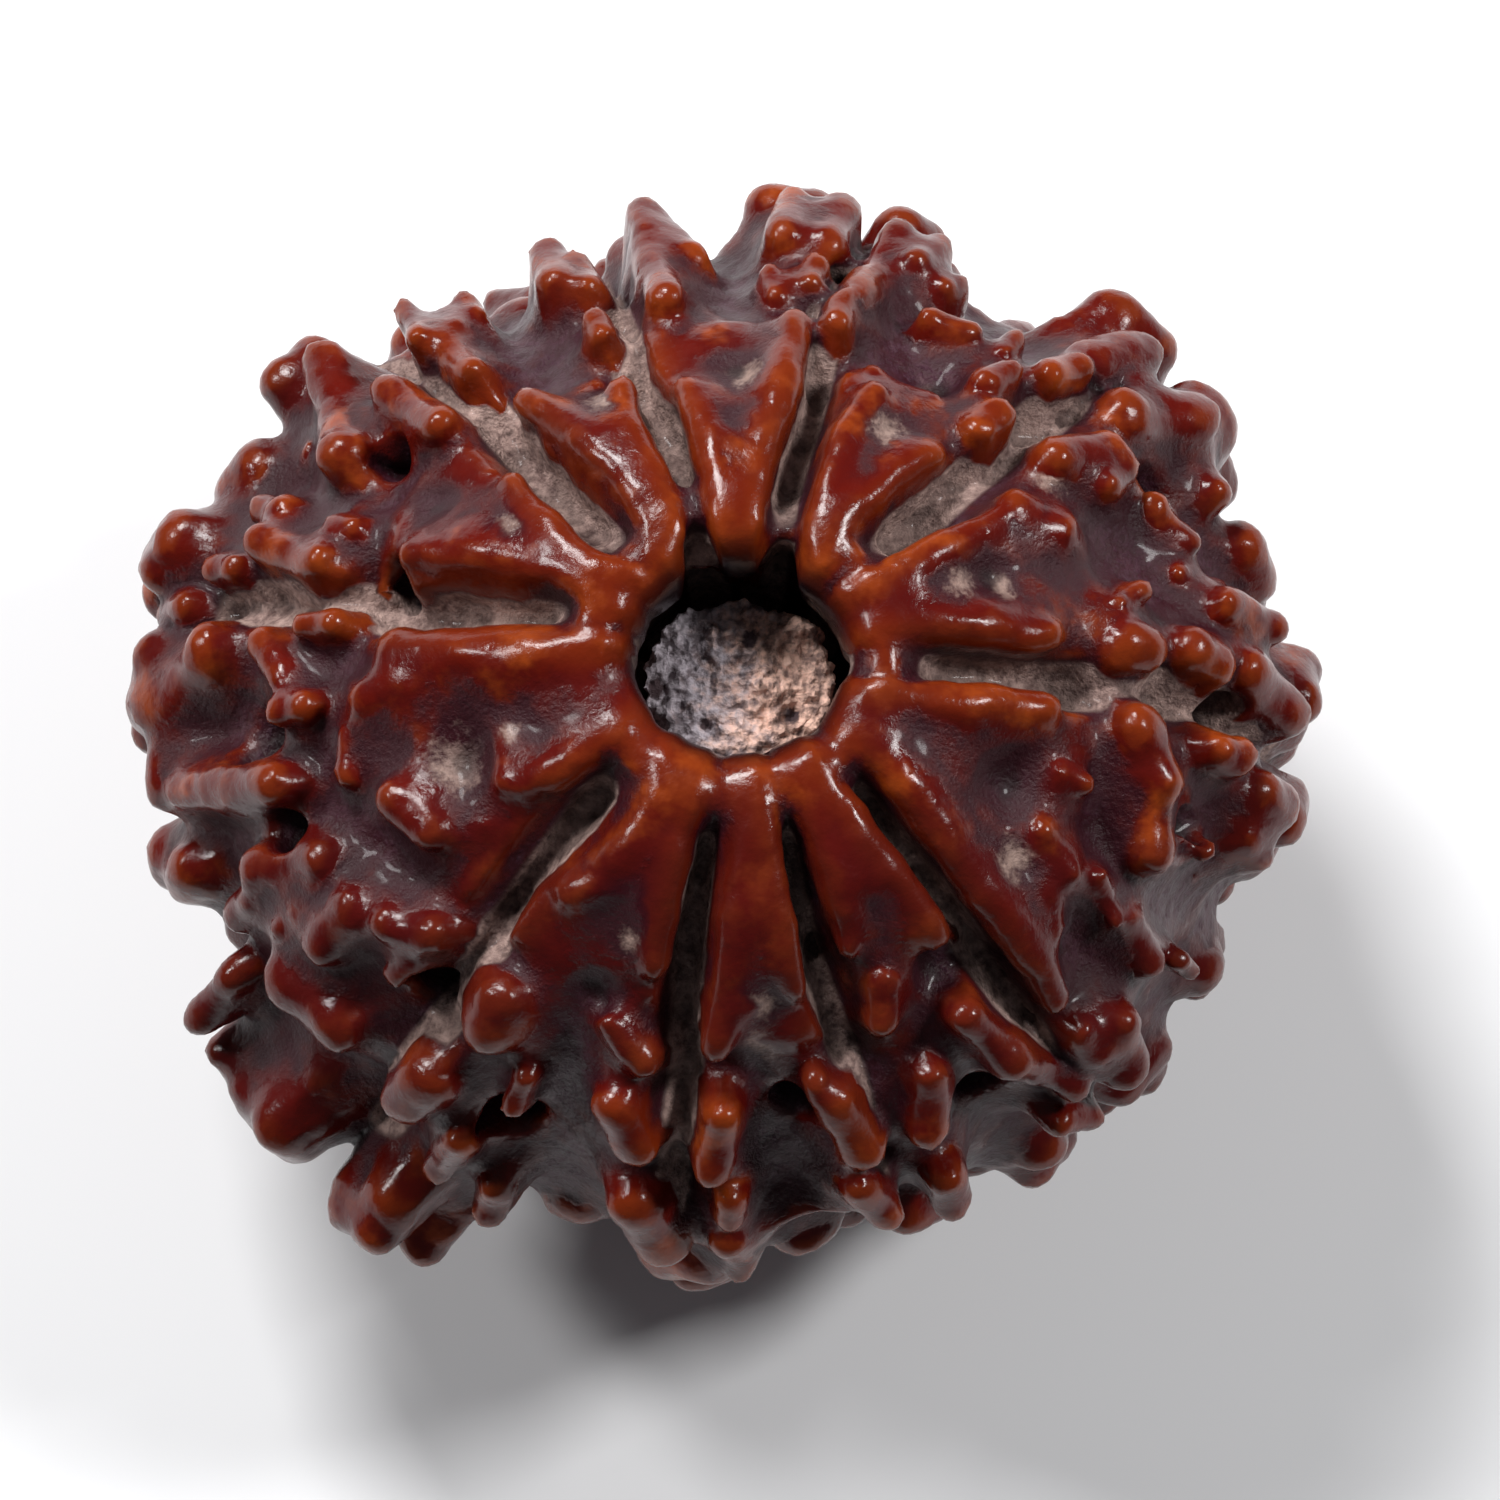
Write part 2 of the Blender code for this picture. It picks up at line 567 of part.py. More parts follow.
def keep_largest_body(thing):
    """Drops loose scraps, so that the object is one body."""
    bm = bmesh.new()
    bm.from_mesh(thing.data)
    left = set(bm.verts)
    bodies = []
    while left:
        body = []
        queue = [left.pop()]
        while queue:
            vert = queue.pop()
            body.append(vert)
            for edge in vert.link_edges:
                other = edge.other_vert(vert)
                if other in left:
                    left.remove(other)
                    queue.append(other)
        bodies.append(body)
    bodies.sort(key=len)
    for body in bodies[:-1]:
        bmesh.ops.delete(bm, geom=body, context="VERTS")
    bm.to_mesh(thing.data)
    bm.free()


def stone():
    """The whole stone: core, ribs and knobs fused, thinned to few faces, and cut flat where it rests."""
    bm = bmesh.new()
    core(bm)
    for half_width, *stations in RIBS:
        bearing, colatitude = stations[-1]
        stations[-1] = (bearing, colatitude - half_width / RIB_END_STEP)
        crest(bm, half_width, 0.0, stations, RIB_FLANKS)
    for half_width, sink, *stations in KNOBS:
        crest(bm, half_width, sink, stations)
    for half_width, sink, stations in rule_knobs(random.Random(SEED)):
        crest(bm, half_width, sink, stations)
    thing = new_object("stone", bm)

    fuse = thing.modifiers.new("fuse", "REMESH")
    fuse.mode = "VOXEL"
    fuse.voxel_size = VOXEL
    soften = thing.modifiers.new("soften", "SMOOTH")
    soften.factor = SMOOTH_SHARE
    soften.iterations = SMOOTH_ROUNDS
    apply_modifiers(thing)
    keep_largest_body(thing)

    thin = thing.modifiers.new("thin", "DECIMATE")
    thin.ratio = STONE_TRIANGLES / sum(len(p.vertices) - 2 for p in thing.data.polygons)
    apply_modifiers(thing)

    cutter = ground()
    flat = thing.modifiers.new("flat_spot", "BOOLEAN")
    flat.operation = "DIFFERENCE"
    flat.object = cutter
    apply_modifiers(thing)
    keep_largest_body(thing)
    bpy.data.objects.remove(cutter)
    thing.data.transform(Matrix.Scale(MM, 4))
    finish(thing, "polished_stone", STONE_COLOUR, STONE_ROUGHNESS)
    return thing


def ground():
    """A block whose top is the surface that the stone rests on."""
    bm = bmesh.new()
    bmesh.ops.create_cube(bm, size=4 * REACH_X)
    bmesh.ops.translate(bm, verts=bm.verts, vec=(0, 0, -2 * REACH_X))
    return new_object("ground", bm)


def pith_radius(bearing):
    """The radius of the pith's outline at a bearing."""
    for (a, low), (b, high) in zip(PITH_OUTLINE, PITH_OUTLINE[1:]):
        if bearing <= b:
            return low + (high - low) * ease((bearing - a) / (b - a))
    return PITH_OUTLINE[-1][1]


def pith():
    """The plug of pith: a rough stump whose top is lumpy and whose sides follow the outline."""
    bm = bmesh.new()
    rings = []
    for share, height in PITH_RINGS:
        ring = []
        for k in range(PITH_COLUMNS):
            bearing = 360 * k / PITH_COLUMNS
            b = math.radians(bearing)
            radius = pith_radius(bearing) * share
            z = PITH_FOOT + (PITH_TOP - PITH_FOOT) * height
            point = Vector((radius * math.cos(b), radius * math.sin(b), z))
            point.z += noise.noise(point / PITH_LUMP) * PITH_ROUGHNESS * ease(height)
            ring.append(bm.verts.new(point))
        rings.append(ring)
    for a, b in zip(rings, rings[1:]):
        for k in range(PITH_COLUMNS):
            n = (k + 1) % PITH_COLUMNS
            bm.faces.new((a[k], a[n], b[n], b[k]))
    bm.faces.new(list(reversed(rings[0])))
    bm.faces.new(rings[-1])
    bmesh.ops.triangulate(bm, faces=bm.faces)
    thing = new_object("pith", bm)
    thing.data.transform(Matrix.Scale(MM, 4))
    finish(thing, "dry_pith", PITH_COLOUR, PITH_DULLNESS)
    return thing


def finish(thing, name, colour, roughness):
    """Gives an object its material and smooth shading."""
    material = bpy.data.materials.new(name)
    material.use_nodes = True
    shader = material.node_tree.nodes["Principled BSDF"]
    shader.inputs["Base Color"].default_value = (*colour, 1)
    shader.inputs["Roughness"].default_value = roughness
    shader.inputs["Metallic"].default_value = 0
    material.diffuse_color = (*colour, 1)
    thing.data.materials.clear()
    thing.data.materials.append(material)
    thing.data.shade_smooth()


def main():
    for thing in list(bpy.data.objects):
        bpy.data.objects.remove(thing)
    stone()
    pith()


main()
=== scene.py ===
"""Looks of the ten mukhi rudraksha bead: its stone and its plug of pith as fine meshes, and the studio.

The stone is modelled again from the same places as the CAD solid, with finer ribs, knobs and clefts and with
the relief of its surface. Sizes are in millimetres, and a piece is scaled to metres when it is finished.
A place on the stone is a bearing, counter-clockwise from +X seen from above, and a colatitude, which is
0 at the stalk end, 90 on the girdle and 180 at the blossom end, both in degrees. Near the stalk end a
colatitude runs over the lip, and below 0 it runs down the canal.
"""

import math
import random
from types import SimpleNamespace

import bpy
import numpy as np
from mathutils import Matrix, Vector


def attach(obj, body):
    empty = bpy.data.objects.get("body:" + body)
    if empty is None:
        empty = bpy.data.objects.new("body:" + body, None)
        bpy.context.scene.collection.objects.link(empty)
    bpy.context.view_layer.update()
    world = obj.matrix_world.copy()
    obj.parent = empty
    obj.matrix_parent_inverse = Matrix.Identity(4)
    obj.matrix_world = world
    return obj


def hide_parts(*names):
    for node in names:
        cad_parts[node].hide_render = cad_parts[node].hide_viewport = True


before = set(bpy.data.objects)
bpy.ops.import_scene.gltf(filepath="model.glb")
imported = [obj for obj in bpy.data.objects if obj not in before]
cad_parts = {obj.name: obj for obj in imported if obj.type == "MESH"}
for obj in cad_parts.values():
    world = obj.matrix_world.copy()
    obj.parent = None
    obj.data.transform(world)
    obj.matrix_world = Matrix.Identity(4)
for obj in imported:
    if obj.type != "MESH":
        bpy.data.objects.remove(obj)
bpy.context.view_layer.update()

MM = 0.001

# The surface that the tips reach: half its width, half its depth, its height above and below the girdle.
REACH_X = 12.9
REACH_Y = 12.1
REACH_UP = 9.6
REACH_DOWN = 9.7
GIRDLE_HEIGHT = 9.4

# How far the web between a lobe's two ribs, the ground between the knobs and the cleft floors lie below
# the tips.
LIP_DEPTH = 0.18
LIP_CLEFT_DEPTH = 0.8
WEB_DEPTH = 0.68
WEB_FULL_BY = 22.0
GROUND_AT_END = 1.0
GROUND_AT_GIRDLE = 2.0
CLEFT_DEPTH = 0.45
CLEFT_FLOORS = (0.40, 0.38, 0.36, 0.36, 0.38, 0.42, 0.34, 0.26, 0.20, 0.24)
CLEFT_WALL = 0.3
PIT_DEPTH = 1.1
PIT_BAND = (25.0, 80.0)

# The canal at the stalk end and the lip that the ribs roll over.
LIP_COLATITUDE = 15.0
LIP_RADIUS = 1.0
CANAL_STEP = 0.4
CANAL_END = -12.0
CANAL_WIDENS = 0.25

# The plug of pith in the canal: its radius at some bearings, the heights of its foot and its top, the
# rounding of its edge, and how deep its pitted cap is.
PITH_OUTLINE = (
    (0, 2.00), (33, 2.05), (47, 2.00), (60, 1.50), (72, 1.75), (90, 1.85), (110, 1.80),
    (138, 2.00), (160, 2.00), (180, 1.95), (210, 1.90), (240, 1.90), (270, 1.95), (300, 1.85),
    (330, 2.05), (360, 2.00),
)
PITH_FOOT = 13.2
PITH_TOP = 15.9
PITH_SIDES = 96
PITH_EDGE = 0.18
PITH_CAP = 1.0

# Pits in the top of the pith and lumps on it, each its radius, how far it sinks or rises, and its place.
PITH_PITS = (
    (0.40, 0.22, (0.2, 0.95)), (0.36, 0.22, (1.1, -0.70)), (0.48, 0.20, (-1.75, -0.1)),
    (0.30, 0.15, (-0.7, -0.9)), (0.55, -0.30, (1.35, 1.15)), (0.50, -0.22, (-0.6, 0.9)),
    (0.45, -0.20, (0.5, -0.1)),
)

# The pith's crumbs: the size of the lumps and how far they stand out, and the same for the grains on them.
LUMP_SIZE = 0.5
LUMPS = 0.35
LUMP_LEVEL = 0.62
CRYSTAL_SIZE = 0.28
CRYSTALS = -0.22
CRYSTAL_LEVEL = 0.35
PITH_CREASE = 40

# The scar at the blossom end, which fills the middle of the flat spot.
SCAR_RADIUS = 3.0
SCAR_EDGE = 0.6

# How a rib or knob is drawn: steps round its crest, then the depth and width of its flanks down to its
# root. Ribs are narrower where they roll over the lip.
RIB_FLANKS = ((0.35, 1.00), (0.70, 1.04), (1.00, 1.15))
KNOB_FLANKS = ((0.12, 1.08), (0.30, 1.28), (0.55, 1.65), (0.80, 2.20), (1.00, 2.80))
KNOB_TIP = 0.95
RIB_NARROW = 0.72
RIB_FULL_BY = 24.0
ROOT = 0.35
LEAST_FLANK = 0.1
STEP = 0.35
RIB_END_STEP = 0.2
END_TURNS = (75, 50, 25)
ROUND_OFF = 1e-6

SEED = 10

# Bearings of each cleft at these colatitudes. Past the last it runs straight down.
CLEFT_STATIONS = (8.0, 20.0, 35.0, 50.0)
CLEFTS = (
    (356.0, 356.0, 358.0, 360.0),
    (40.0, 40.0, 42.0, 43.0),
    (69.0, 78.0, 77.0, 77.0),
    (109.0, 105.0, 108.5, 108.5),
    (137.0, 137.0, 132.5, 132.0),
    (168.0, 168.0, 168.5, 167.5),
    (224.0, 224.0, 226.0, 228.0),
    (258.5, 258.5, 260.0, 262.0),
    (283.0, 283.0, 283.5, 286.0),
    (310.5, 310.5, 311.0, 310.5),
)

# The colatitude where each cleft starts. Two run over the lip into the canal.
CLEFT_STARTS = (15.0, 15.0, -9.0, -9.0, 15.0, 15.0, 15.0, 16.0, 16.0, 15.0)
CLEFT_RISE = 4.0

# The colatitude where the web between two ribs ends, in the lobe that follows each cleft, and how soon it
# drops away.
WEB_ENDS = (38.0, 36.0, 43.0, 37.0, 40.0, 38.0, 38.0, 42.0, 36.0, 36.0)
WEB_DROP = 5.0

# Deep pits among the knobs, each its half width and place.
PITS = (
    (0.55, (30, 62)), (0.45, (143.5, 50)), (0.45, (162, 39.5)), (0.40, (164.5, 52)), (0.65, (187.5, 59)),
    (0.60, (198, 56)), (0.50, (226, 51)), (0.60, (243, 67)), (0.45, (250, 56)), (0.50, (277, 52)),
    (0.45, (286, 34)), (0.50, (300, 62)), (0.45, (311.5, 48)), (0.55, (342, 56)), (0.50, (358, 48)),
    (0.55, (358, 60)), (0.45, (77, 58)),
)

# Shallow dishes in the webs, each its radius and place. Only what lies deeper below the tips than the first
# of two depths sinks, and it sinks fully from the second. A wider rim is smoothed with each dish, in some
# rounds, and fully over a part of it that grows with the grip.
DISH_DEPTH = 0.34
DISH_FREE = (0.3, 0.7)
DISH_RIM = 1.5
DISH_GRIP = 2.0
DISH_ROUNDS = 6
DISHES = (
    (1.0, (32, 34)), (0.9, (60, 30)), (0.9, (60, 44)), (1.0, (89.5, 34)), (0.9, (115, 33)),
    (0.9, (148, 27.5)), (0.9, (148, 39)), (1.1, (200, 30)), (1.2, (248, 29)), (0.8, (247.5, 40)),
    (0.9, (273.5, 36.5)), (1.1, (336, 30)), (0.7, (322.5, 35)), (0.8, (302, 40)), (0.9, (20, 26)),
)

# Pale spots where dust has settled, each its radius and place.
SPOTS = (
    (0.75, (20.5, 23)), (0.60, (18, 28)), (0.95, (60, 30)), (0.60, (60, 44)), (0.85, (88.5, 33.5)),
    (0.75, (115, 33)), (0.70, (147, 27)), (1.20, (200, 31)), (0.55, (199, 24)), (0.60, (250, 32)),
    (0.70, (273.5, 37)), (0.80, (274, 43)), (0.90, (322.5, 35)), (0.75, (35, 40)),
)

# The deepest pits among the knobs, which sink further and are painted black as shade, each its radius and
# place, and the depths as above.
DEEP_FREE = (0.5, 1.0)
DEEP_PITS = (
    (0.9, (29, 60)), (1.0, (185, 60)), (0.7, (198, 57)), (0.7, (243, 67)), (0.7, (300, 62)),
    (0.7, (342, 57)), (0.7, (358, 60)), (0.6, (226, 52)), (0.6, (77, 58)), (0.6, (143.5, 50)),
    (0.6, (277, 53)), (0.5, (162, 39.5)),
)

# How far along its own axis a dish, spot or pit reaches.
MARK_REACH = 4.0

# Each rib is its half width and the places that its crest passes, from inside the canal outwards.
RIBS = (
    (0.55, (14, -2), (13, 8), (12, 18), (7, 29), (7, 34)),
    (0.45, (33, -2), (32, 8), (30, 18), (31, 26), (32, 33)),
    (0.48, (46, -2), (50, 8), (56, 16), (54, 24), (51, 33)),
    (0.42, (51, -2), (55, 8), (63, 18), (67, 28), (66, 36)),
    (0.50, (88, -2), (87, 8), (86, 18), (83, 30), (82, 45)),
    (0.45, (93, -2), (94, 8), (96, 18), (98, 27), (100, 34)),
    (0.40, (127, -2), (122, 8), (114, 18), (113, 28), (111, 36)),
    (0.46, (131, -2), (127, 8), (120, 19), (122, 30), (125, 41)),
    (0.48, (138, -2), (140, 8), (146, 17), (142, 26), (139, 33)),
    (0.55, (158, -2), (156, 8), (151, 19), (155, 29), (158, 39)),
    (0.70, (174, -2), (176, 8), (179, 17), (178, 28), (176, 39)),
    (0.55, (192, -2), (194, 6), (195, 13)),
    (0.50, (211, -2), (211, 8), (214, 17), (211, 25), (209, 29)),
    (0.62, (236, -2), (239, 8), (243, 17), (240, 27), (236, 33)),
    (0.42, (252, -2), (252, 8), (252, 18), (254, 30), (255, 36)),
    (0.46, (271, -2), (272, 8), (272, 20), (269, 32), (267, 45)),
    (0.36, (277, 4), (277, 18), (278, 30), (279, 38)),
    (0.44, (292, -2), (293, 8), (294, 18), (292, 28), (290, 35)),
    (0.46, (303, -2), (302, 8), (301, 18), (304, 30), (304, 38)),
    (0.48, (324, -2), (325, 8), (323, 18), (317, 28), (315, 41), (313, 54)),
    (0.52, (340, -2), (341, 8), (345, 18), (350, 27), (351, 34)),
)

# Each knob is its half width, how far its crest stays below the tips' surface, and where its crest begins
# and ends. They follow the lobes between the clefts, counter-clockwise from the cleft at bearing 0.
KNOBS = (
    (0.68, 0.0, (5, 41), (5, 43)),
    (0.59, 0.0, (5, 51), (4, 54)),
    (0.68, 0.0, (4, 62), (1, 72)),
    (0.45, 0.0, (12, 58), (10, 68)),
    (0.27, 0.3, (12, 41), (14, 45)),
    (0.68, 0.2, (32, 34), (27, 37)),
    (0.63, 0.0, (37, 43), (35, 50)),
    (0.50, 0.1, (31, 47), (33, 51)),
    (0.77, 0.0, (39, 60), (36, 72)),
    (0.45, 0.2, (32, 75), (28, 72)),
    (0.50, 0.5, (26, 55), (22, 58)),
    (0.36, 0.7, (17, 55), (15, 62)),
    (0.45, 0.0, (48, 37), (48, 40)),
    (0.41, 0.1, (53, 44), (52, 48)),
    (0.32, 0.4, (55, 53), (55, 57)),
    (0.45, 0.1, (48, 53), (47, 58)),
    (0.72, 0.0, (47, 64), (45, 72)),
    (0.36, 0.2, (42, 66), (42, 68)),
    (0.41, 0.0, (76, 43), (76, 47)),
    (0.45, 0.1, (75, 50), (73, 68)),
    (0.45, 0.0, (70, 62), (69, 70)),
    (0.32, 0.3, (66, 61), (65, 64)),
    (0.36, 0.4, (65, 52), (60, 53)),
    (0.27, 0.7, (68, 39), (58, 39)),
    (0.50, 0.0, (85, 62), (84.5, 72)),
    (0.56, 0.0, (80, 62), (80, 72)),
    (0.36, 0.2, (81, 51), (81, 55)),
    (0.36, 0.4, (85, 49), (86, 53)),
    (0.47, 0.0, (100, 47), (100, 71)),
    (0.45, 0.3, (96, 60), (99, 70)),
    (0.27, 0.7, (99, 42), (88, 43)),
    (0.41, 0.1, (110, 43), (110, 46)),
    (0.30, 0.4, (106, 16), (106, 18)),
    (0.45, 0.2, (109, 55), (109, 62)),
    (0.50, 0.0, (112, 57), (111, 68)),
    (0.45, 0.0, (128, 48), (128, 56)),
    (0.41, 0.1, (125.5, 58), (124.5, 63)),
    (0.32, 0.3, (122, 61), (122, 65)),
    (0.32, -0.3, (129.5, 57), (127.5, 67)),
    (0.50, 0.0, (137, 44), (136.5, 56)),
    (0.68, 0.0, (146, 56), (137.5, 71)),
    (0.41, 0.2, (145.5, 71), (146, 76)),
    (0.50, 0.0, (162, 49), (160, 60)),
    (0.41, 0.1, (163, 66), (163, 70)),
    (0.85, 0.0, (160, 80), (160, 86)),
    (0.45, 0.3, (155, 62), (155, 67)),
    (0.41, 0.4, (156, 47), (156, 50)),
    (0.27, 0.7, (141, 36), (150, 37)),
    (0.54, 0.3, (167, 77), (167, 84)),
    (0.36, 0.3, (171, 45), (171, 49)),
    (0.59, 0.2, (182, 35), (184, 39)),
    (0.56, 0.0, (202, 38), (209, 36)),
    (0.27, 0.4, (212, 32), (214, 31)),
    (0.45, 0.1, (183, 48), (183, 51)),
    (0.38, 0.5, (189, 43), (194, 44)),
    (0.41, 0.3, (173, 56), (178, 52)),
    (0.85, -0.1, (173, 68), (177, 80)),
    (0.81, -0.1, (177, 80), (185, 82)),
    (0.56, 0.0, (192, 54), (187, 76)),
    (0.68, 0.3, (204, 53), (201, 63)),
    (0.63, 0.2, (195, 84), (195, 90)),
    (0.61, 0.0, (212, 51), (213, 57)),
    (0.50, 0.0, (217, 47), (222, 44)),
    (0.41, 0.4, (222, 49), (222, 52)),
    (0.41, 0.3, (208, 59), (208, 63)),
    (0.50, 0.4, (203, 68), (203, 74)),
    (0.90, 0.0, (214, 68), (220, 66)),
    (0.41, 0.2, (208, 80), (209, 88)),
    (0.45, 0.5, (212, 95), (212, 99)),
    (0.90, 0.2, (222, 92), (222, 98)),
    (0.77, 0.0, (236, 46), (236, 49)),
    (0.72, 0.0, (233, 62), (232, 68)),
    (0.32, 0.4, (243, 54), (243, 59)),
    (0.41, 0.2, (239, 70), (238, 80)),
    (0.72, 0.3, (235, 90), (235, 95)),
    (0.41, 0.2, (251, 42), (257, 46)),
    (0.59, 0.1, (255, 53), (258, 58)),
    (0.74, 0.0, (259, 70), (262, 78)),
    (0.45, 0.4, (244, 80), (244, 86)),
    (0.32, 0.9, (240, 41), (252, 40)),
    (0.45, 0.1, (268, 52), (267, 60)),
    (0.59, 0.1, (282, 52), (284, 59)),
    (0.27, 0.3, (280, 48), (280, 50)),
    (0.34, 0.2, (269, 66), (269, 70)),
    (0.50, 0.1, (269, 76), (270, 86)),
    (0.45, 0.1, (283, 66), (285, 73)),
    (0.23, 0.6, (272, 76), (281, 73)),
    (0.45, 0.2, (293, 38), (291, 42)),
    (0.50, 0.0, (302, 46), (304, 54)),
    (0.54, 0.1, (294, 52), (292, 59)),
    (0.47, 0.1, (292, 70), (292, 76)),
    (0.41, 0.2, (305, 56), (309, 66)),
    (0.41, 0.3, (306, 72), (309, 76)),
    (0.41, 0.1, (313, 58), (313, 62)),
    (0.63, 0.0, (317, 62), (315, 69)),
    (0.36, 0.3, (322, 41), (319, 44)),
    (0.38, 0.2, (330, 36), (327, 41)),
    (0.32, 0.3, (329, 45), (326, 50)),
    (0.45, 0.4, (327, 53), (325, 60)),
    (0.27, 0.5, (328, 65), (328, 69)),
    (0.72, 0.0, (352, 43), (346, 47)),
    (0.59, 0.1, (346, 47), (337, 50)),
    (0.50, 0.1, (353, 56), (353, 59)),
    (0.68, 0.1, (350, 68), (350, 73)),
    (0.45, 0.4, (345, 68), (344, 73)),
    (0.32, 0.4, (341, 35), (341, 38)),
    (0.36, 0.6, (341, 56), (341, 60)),
)

# The outline seen from above, as bearings and how far the tips there reach past their usual surface. They
# are the tips near the lowest places that the photograph shows, which lie lower in front than behind.
OUTLINE = (
    (0, -0.5), (7, -0.2), (11.5, -1.3), (17, -0.45), (22, -0.85), (25, -1.1), (29, -0.4), (33, 0.2),
    (38, 0.45), (43, 0.0), (47, 0.65), (51, 0.3), (53, -0.9), (56, -0.85), (60, -1.7), (65, -0.6),
    (70, 0.1), (74, 0.1), (76, -1.1), (78, 0.2), (85.5, 0.2), (88, -1.5), (92, -1.8), (96, -0.6),
    (100, 0.1), (102.5, -1.6), (104.5, -1.6), (107, 0.15), (111, -0.1), (114, -1.3), (117, -1.4),
    (121, 0.05), (124.5, -0.3), (127, 0.45), (129.5, -1.1), (131.5, 0.5), (136, 0.6), (143, 0.3),
    (146, -1.3), (148, -1.4), (151, -0.15), (156, 0.5), (161, 0.8), (167, 0.05), (174, 0.45), (184, 0.2),
    (187, -0.3), (189.5, 0.65), (193, 0.0), (202, -0.45), (205, -1.2), (207, 0.6), (212, 0.7),
    (214.5, 0.0), (219, 1.1), (222, 0.9), (226, 0.1), (230, 1.2), (234, 1.2), (237.5, 0.3), (241, 0.8),
    (244.5, 0.1), (248, -1.7), (251, -1.3), (255, -0.3), (261, -0.05), (263.5, -0.6), (266, -0.05),
    (270, -0.05), (275, -0.8), (279, -1.4), (284, -1.2), (287, -0.2), (290, -1.7), (293, 0.0),
    (297, -0.9), (301, -1.8), (305, -1.1), (309, -0.4), (312.5, -1.4), (315.5, -0.55), (320, -0.8),
    (324, -1.8), (328, -1.9), (333, -1.1), (338, -1.7), (342.5, -0.7), (347, -1.6), (351, -0.6),
    (360, -0.5),
)
OUTLINE_TILT = 12.0
OUTLINE_ABOVE = 20.0
OUTLINE_BELOW = 6.0
OUTLINE_FADE = 14.0
TIP_LOSS = 0.25

# Past the last place that the photograph shows, rows of knobs follow one rule on every lobe, down to the
# ribs round the blossom end.
RULE_ROWS = (84, 95, 106, 117, 127, 137, 146)
RULE_SPACING = 3.1
RULE_START = 84.0
RULE_START_TILT = 7.0
RULE_WANDER = 0.12
RULE_HALF_WIDTH = (0.60, 0.95)
RULE_LENGTH = 5.0
RULE_SHORTEST = 0.2
RULE_STRAY = 0.6
RULE_LEAN = 2.5
RULE_SINK = 0.35
RULE_RIB = (147, 156, 165, 173)
RULE_RIB_SIDES = (0.22, 0.78)
RULE_RIB_HALF_WIDTH = 0.55

# How fine the meshes are, and how near the axis a point of the core counts as a pole.
CORE_COLUMNS = 360
CORE_ROWS = 132
POLE = 1e-5
KNOB_RINGS = 20
RIB_RINGS = 44
BAR_RINGS = {"knob_bar": KNOB_RINGS, "rib_bar": RIB_RINGS}
RING_POINTS = 20
STONE_VOXEL = 0.145
STONE_ROUNDS = 3
STONE_TRIANGLES = 185000
PITH_VOXEL = 0.075

# How far the middle of a knob sags between its ends, for each millimetre of a length up to the longest.
SADDLE = 0.10
SADDLE_LONGEST = 2.5

# From which share of its length a rib sinks and narrows, and how much by its end.
RIB_FADES_FROM = 0.7
RIB_FADE = 0.2
RIB_TAPER = 0.22

# How the creases between knobs are filled: rounds, the share done in one, how soon the normals are taken
# anew, the rise at which a crease is filled at the full rate, and how far a cleft keeps the filling off.
FILL_ROUNDS = 110
FILL_SHARE = 0.8
NORMALS_EVERY = 6
HOLLOW_RISE = 0.002
CLEFT_KEEPS = 1.5

# The part of the lip that is smoothed: its radius, its soft edge, its least height, and the rounds.
LIP_REACH = 4.2
LIP_BLEND = 1.0
LIP_FOOT = 15.5
LIP_ROUNDS = 26

# The wobble of the grown surface and the grit in its hollows, each the size of its pattern and its depth.
# Grit starts below a depth, and the sooner the sharper a hollow is.
WOBBLE_SIZE = 1.3
WOBBLE = 0.28
GRIT_SIZE = 0.22
GRIT = 0.10
GRIT_FROM = 1.0
GRIT_HOLLOW = 0.03

# How strongly a round of smoothing acts, and how many steps the weights of a group of points have.
SMOOTHING = 0.5
WEIGHT_STEPS = 20

# The height of the cut that makes the flat spot.
FLAT_HEIGHT = 0.001

# How the surface is judged for its finish: over how many points round each point, and what counts as a
# full bulge, over a few points and over many.
FINE_ROUNDS = 8
FINE_BULGE = 0.04
BROAD_ROUNDS = 60
BROAD_BULGE = 0.25
HEIGHT_RANGE = (-0.5, 1.2)

# Where the finish changes. Dust lies below a depth, and not on what bulges. Deep pits get painted shade from
# a depth on, and the canal inside a radius. The banks of the clefts get a painted glow of light through their
# thin walls, down to a colatitude.
DUST_FROM = 0.5
DUST_BULGE = 0.12
DARK_FROM = 1.0
DARK_OVER = 0.8
CANAL_MOUTH = 2.45
CANAL_BLEND = 0.4
BANK = 1.3
BANK_END = 60.0


def reach_point(bearing, colatitude):
    """The point of the tips' surface at a place, and the surface's normal there."""
    b = math.radians(bearing)
    c = math.radians(colatitude)
    up = REACH_UP if colatitude < 90 else REACH_DOWN
    way = Vector((math.sin(c) * math.cos(b), math.sin(c) * math.sin(b), math.cos(c)))
    point = Vector((way.x * REACH_X, way.y * REACH_Y, way.z * up + GIRDLE_HEIGHT))
    normal = Vector((way.x / REACH_X, way.y / REACH_Y, way.z / up)).normalized()
    return point, normal


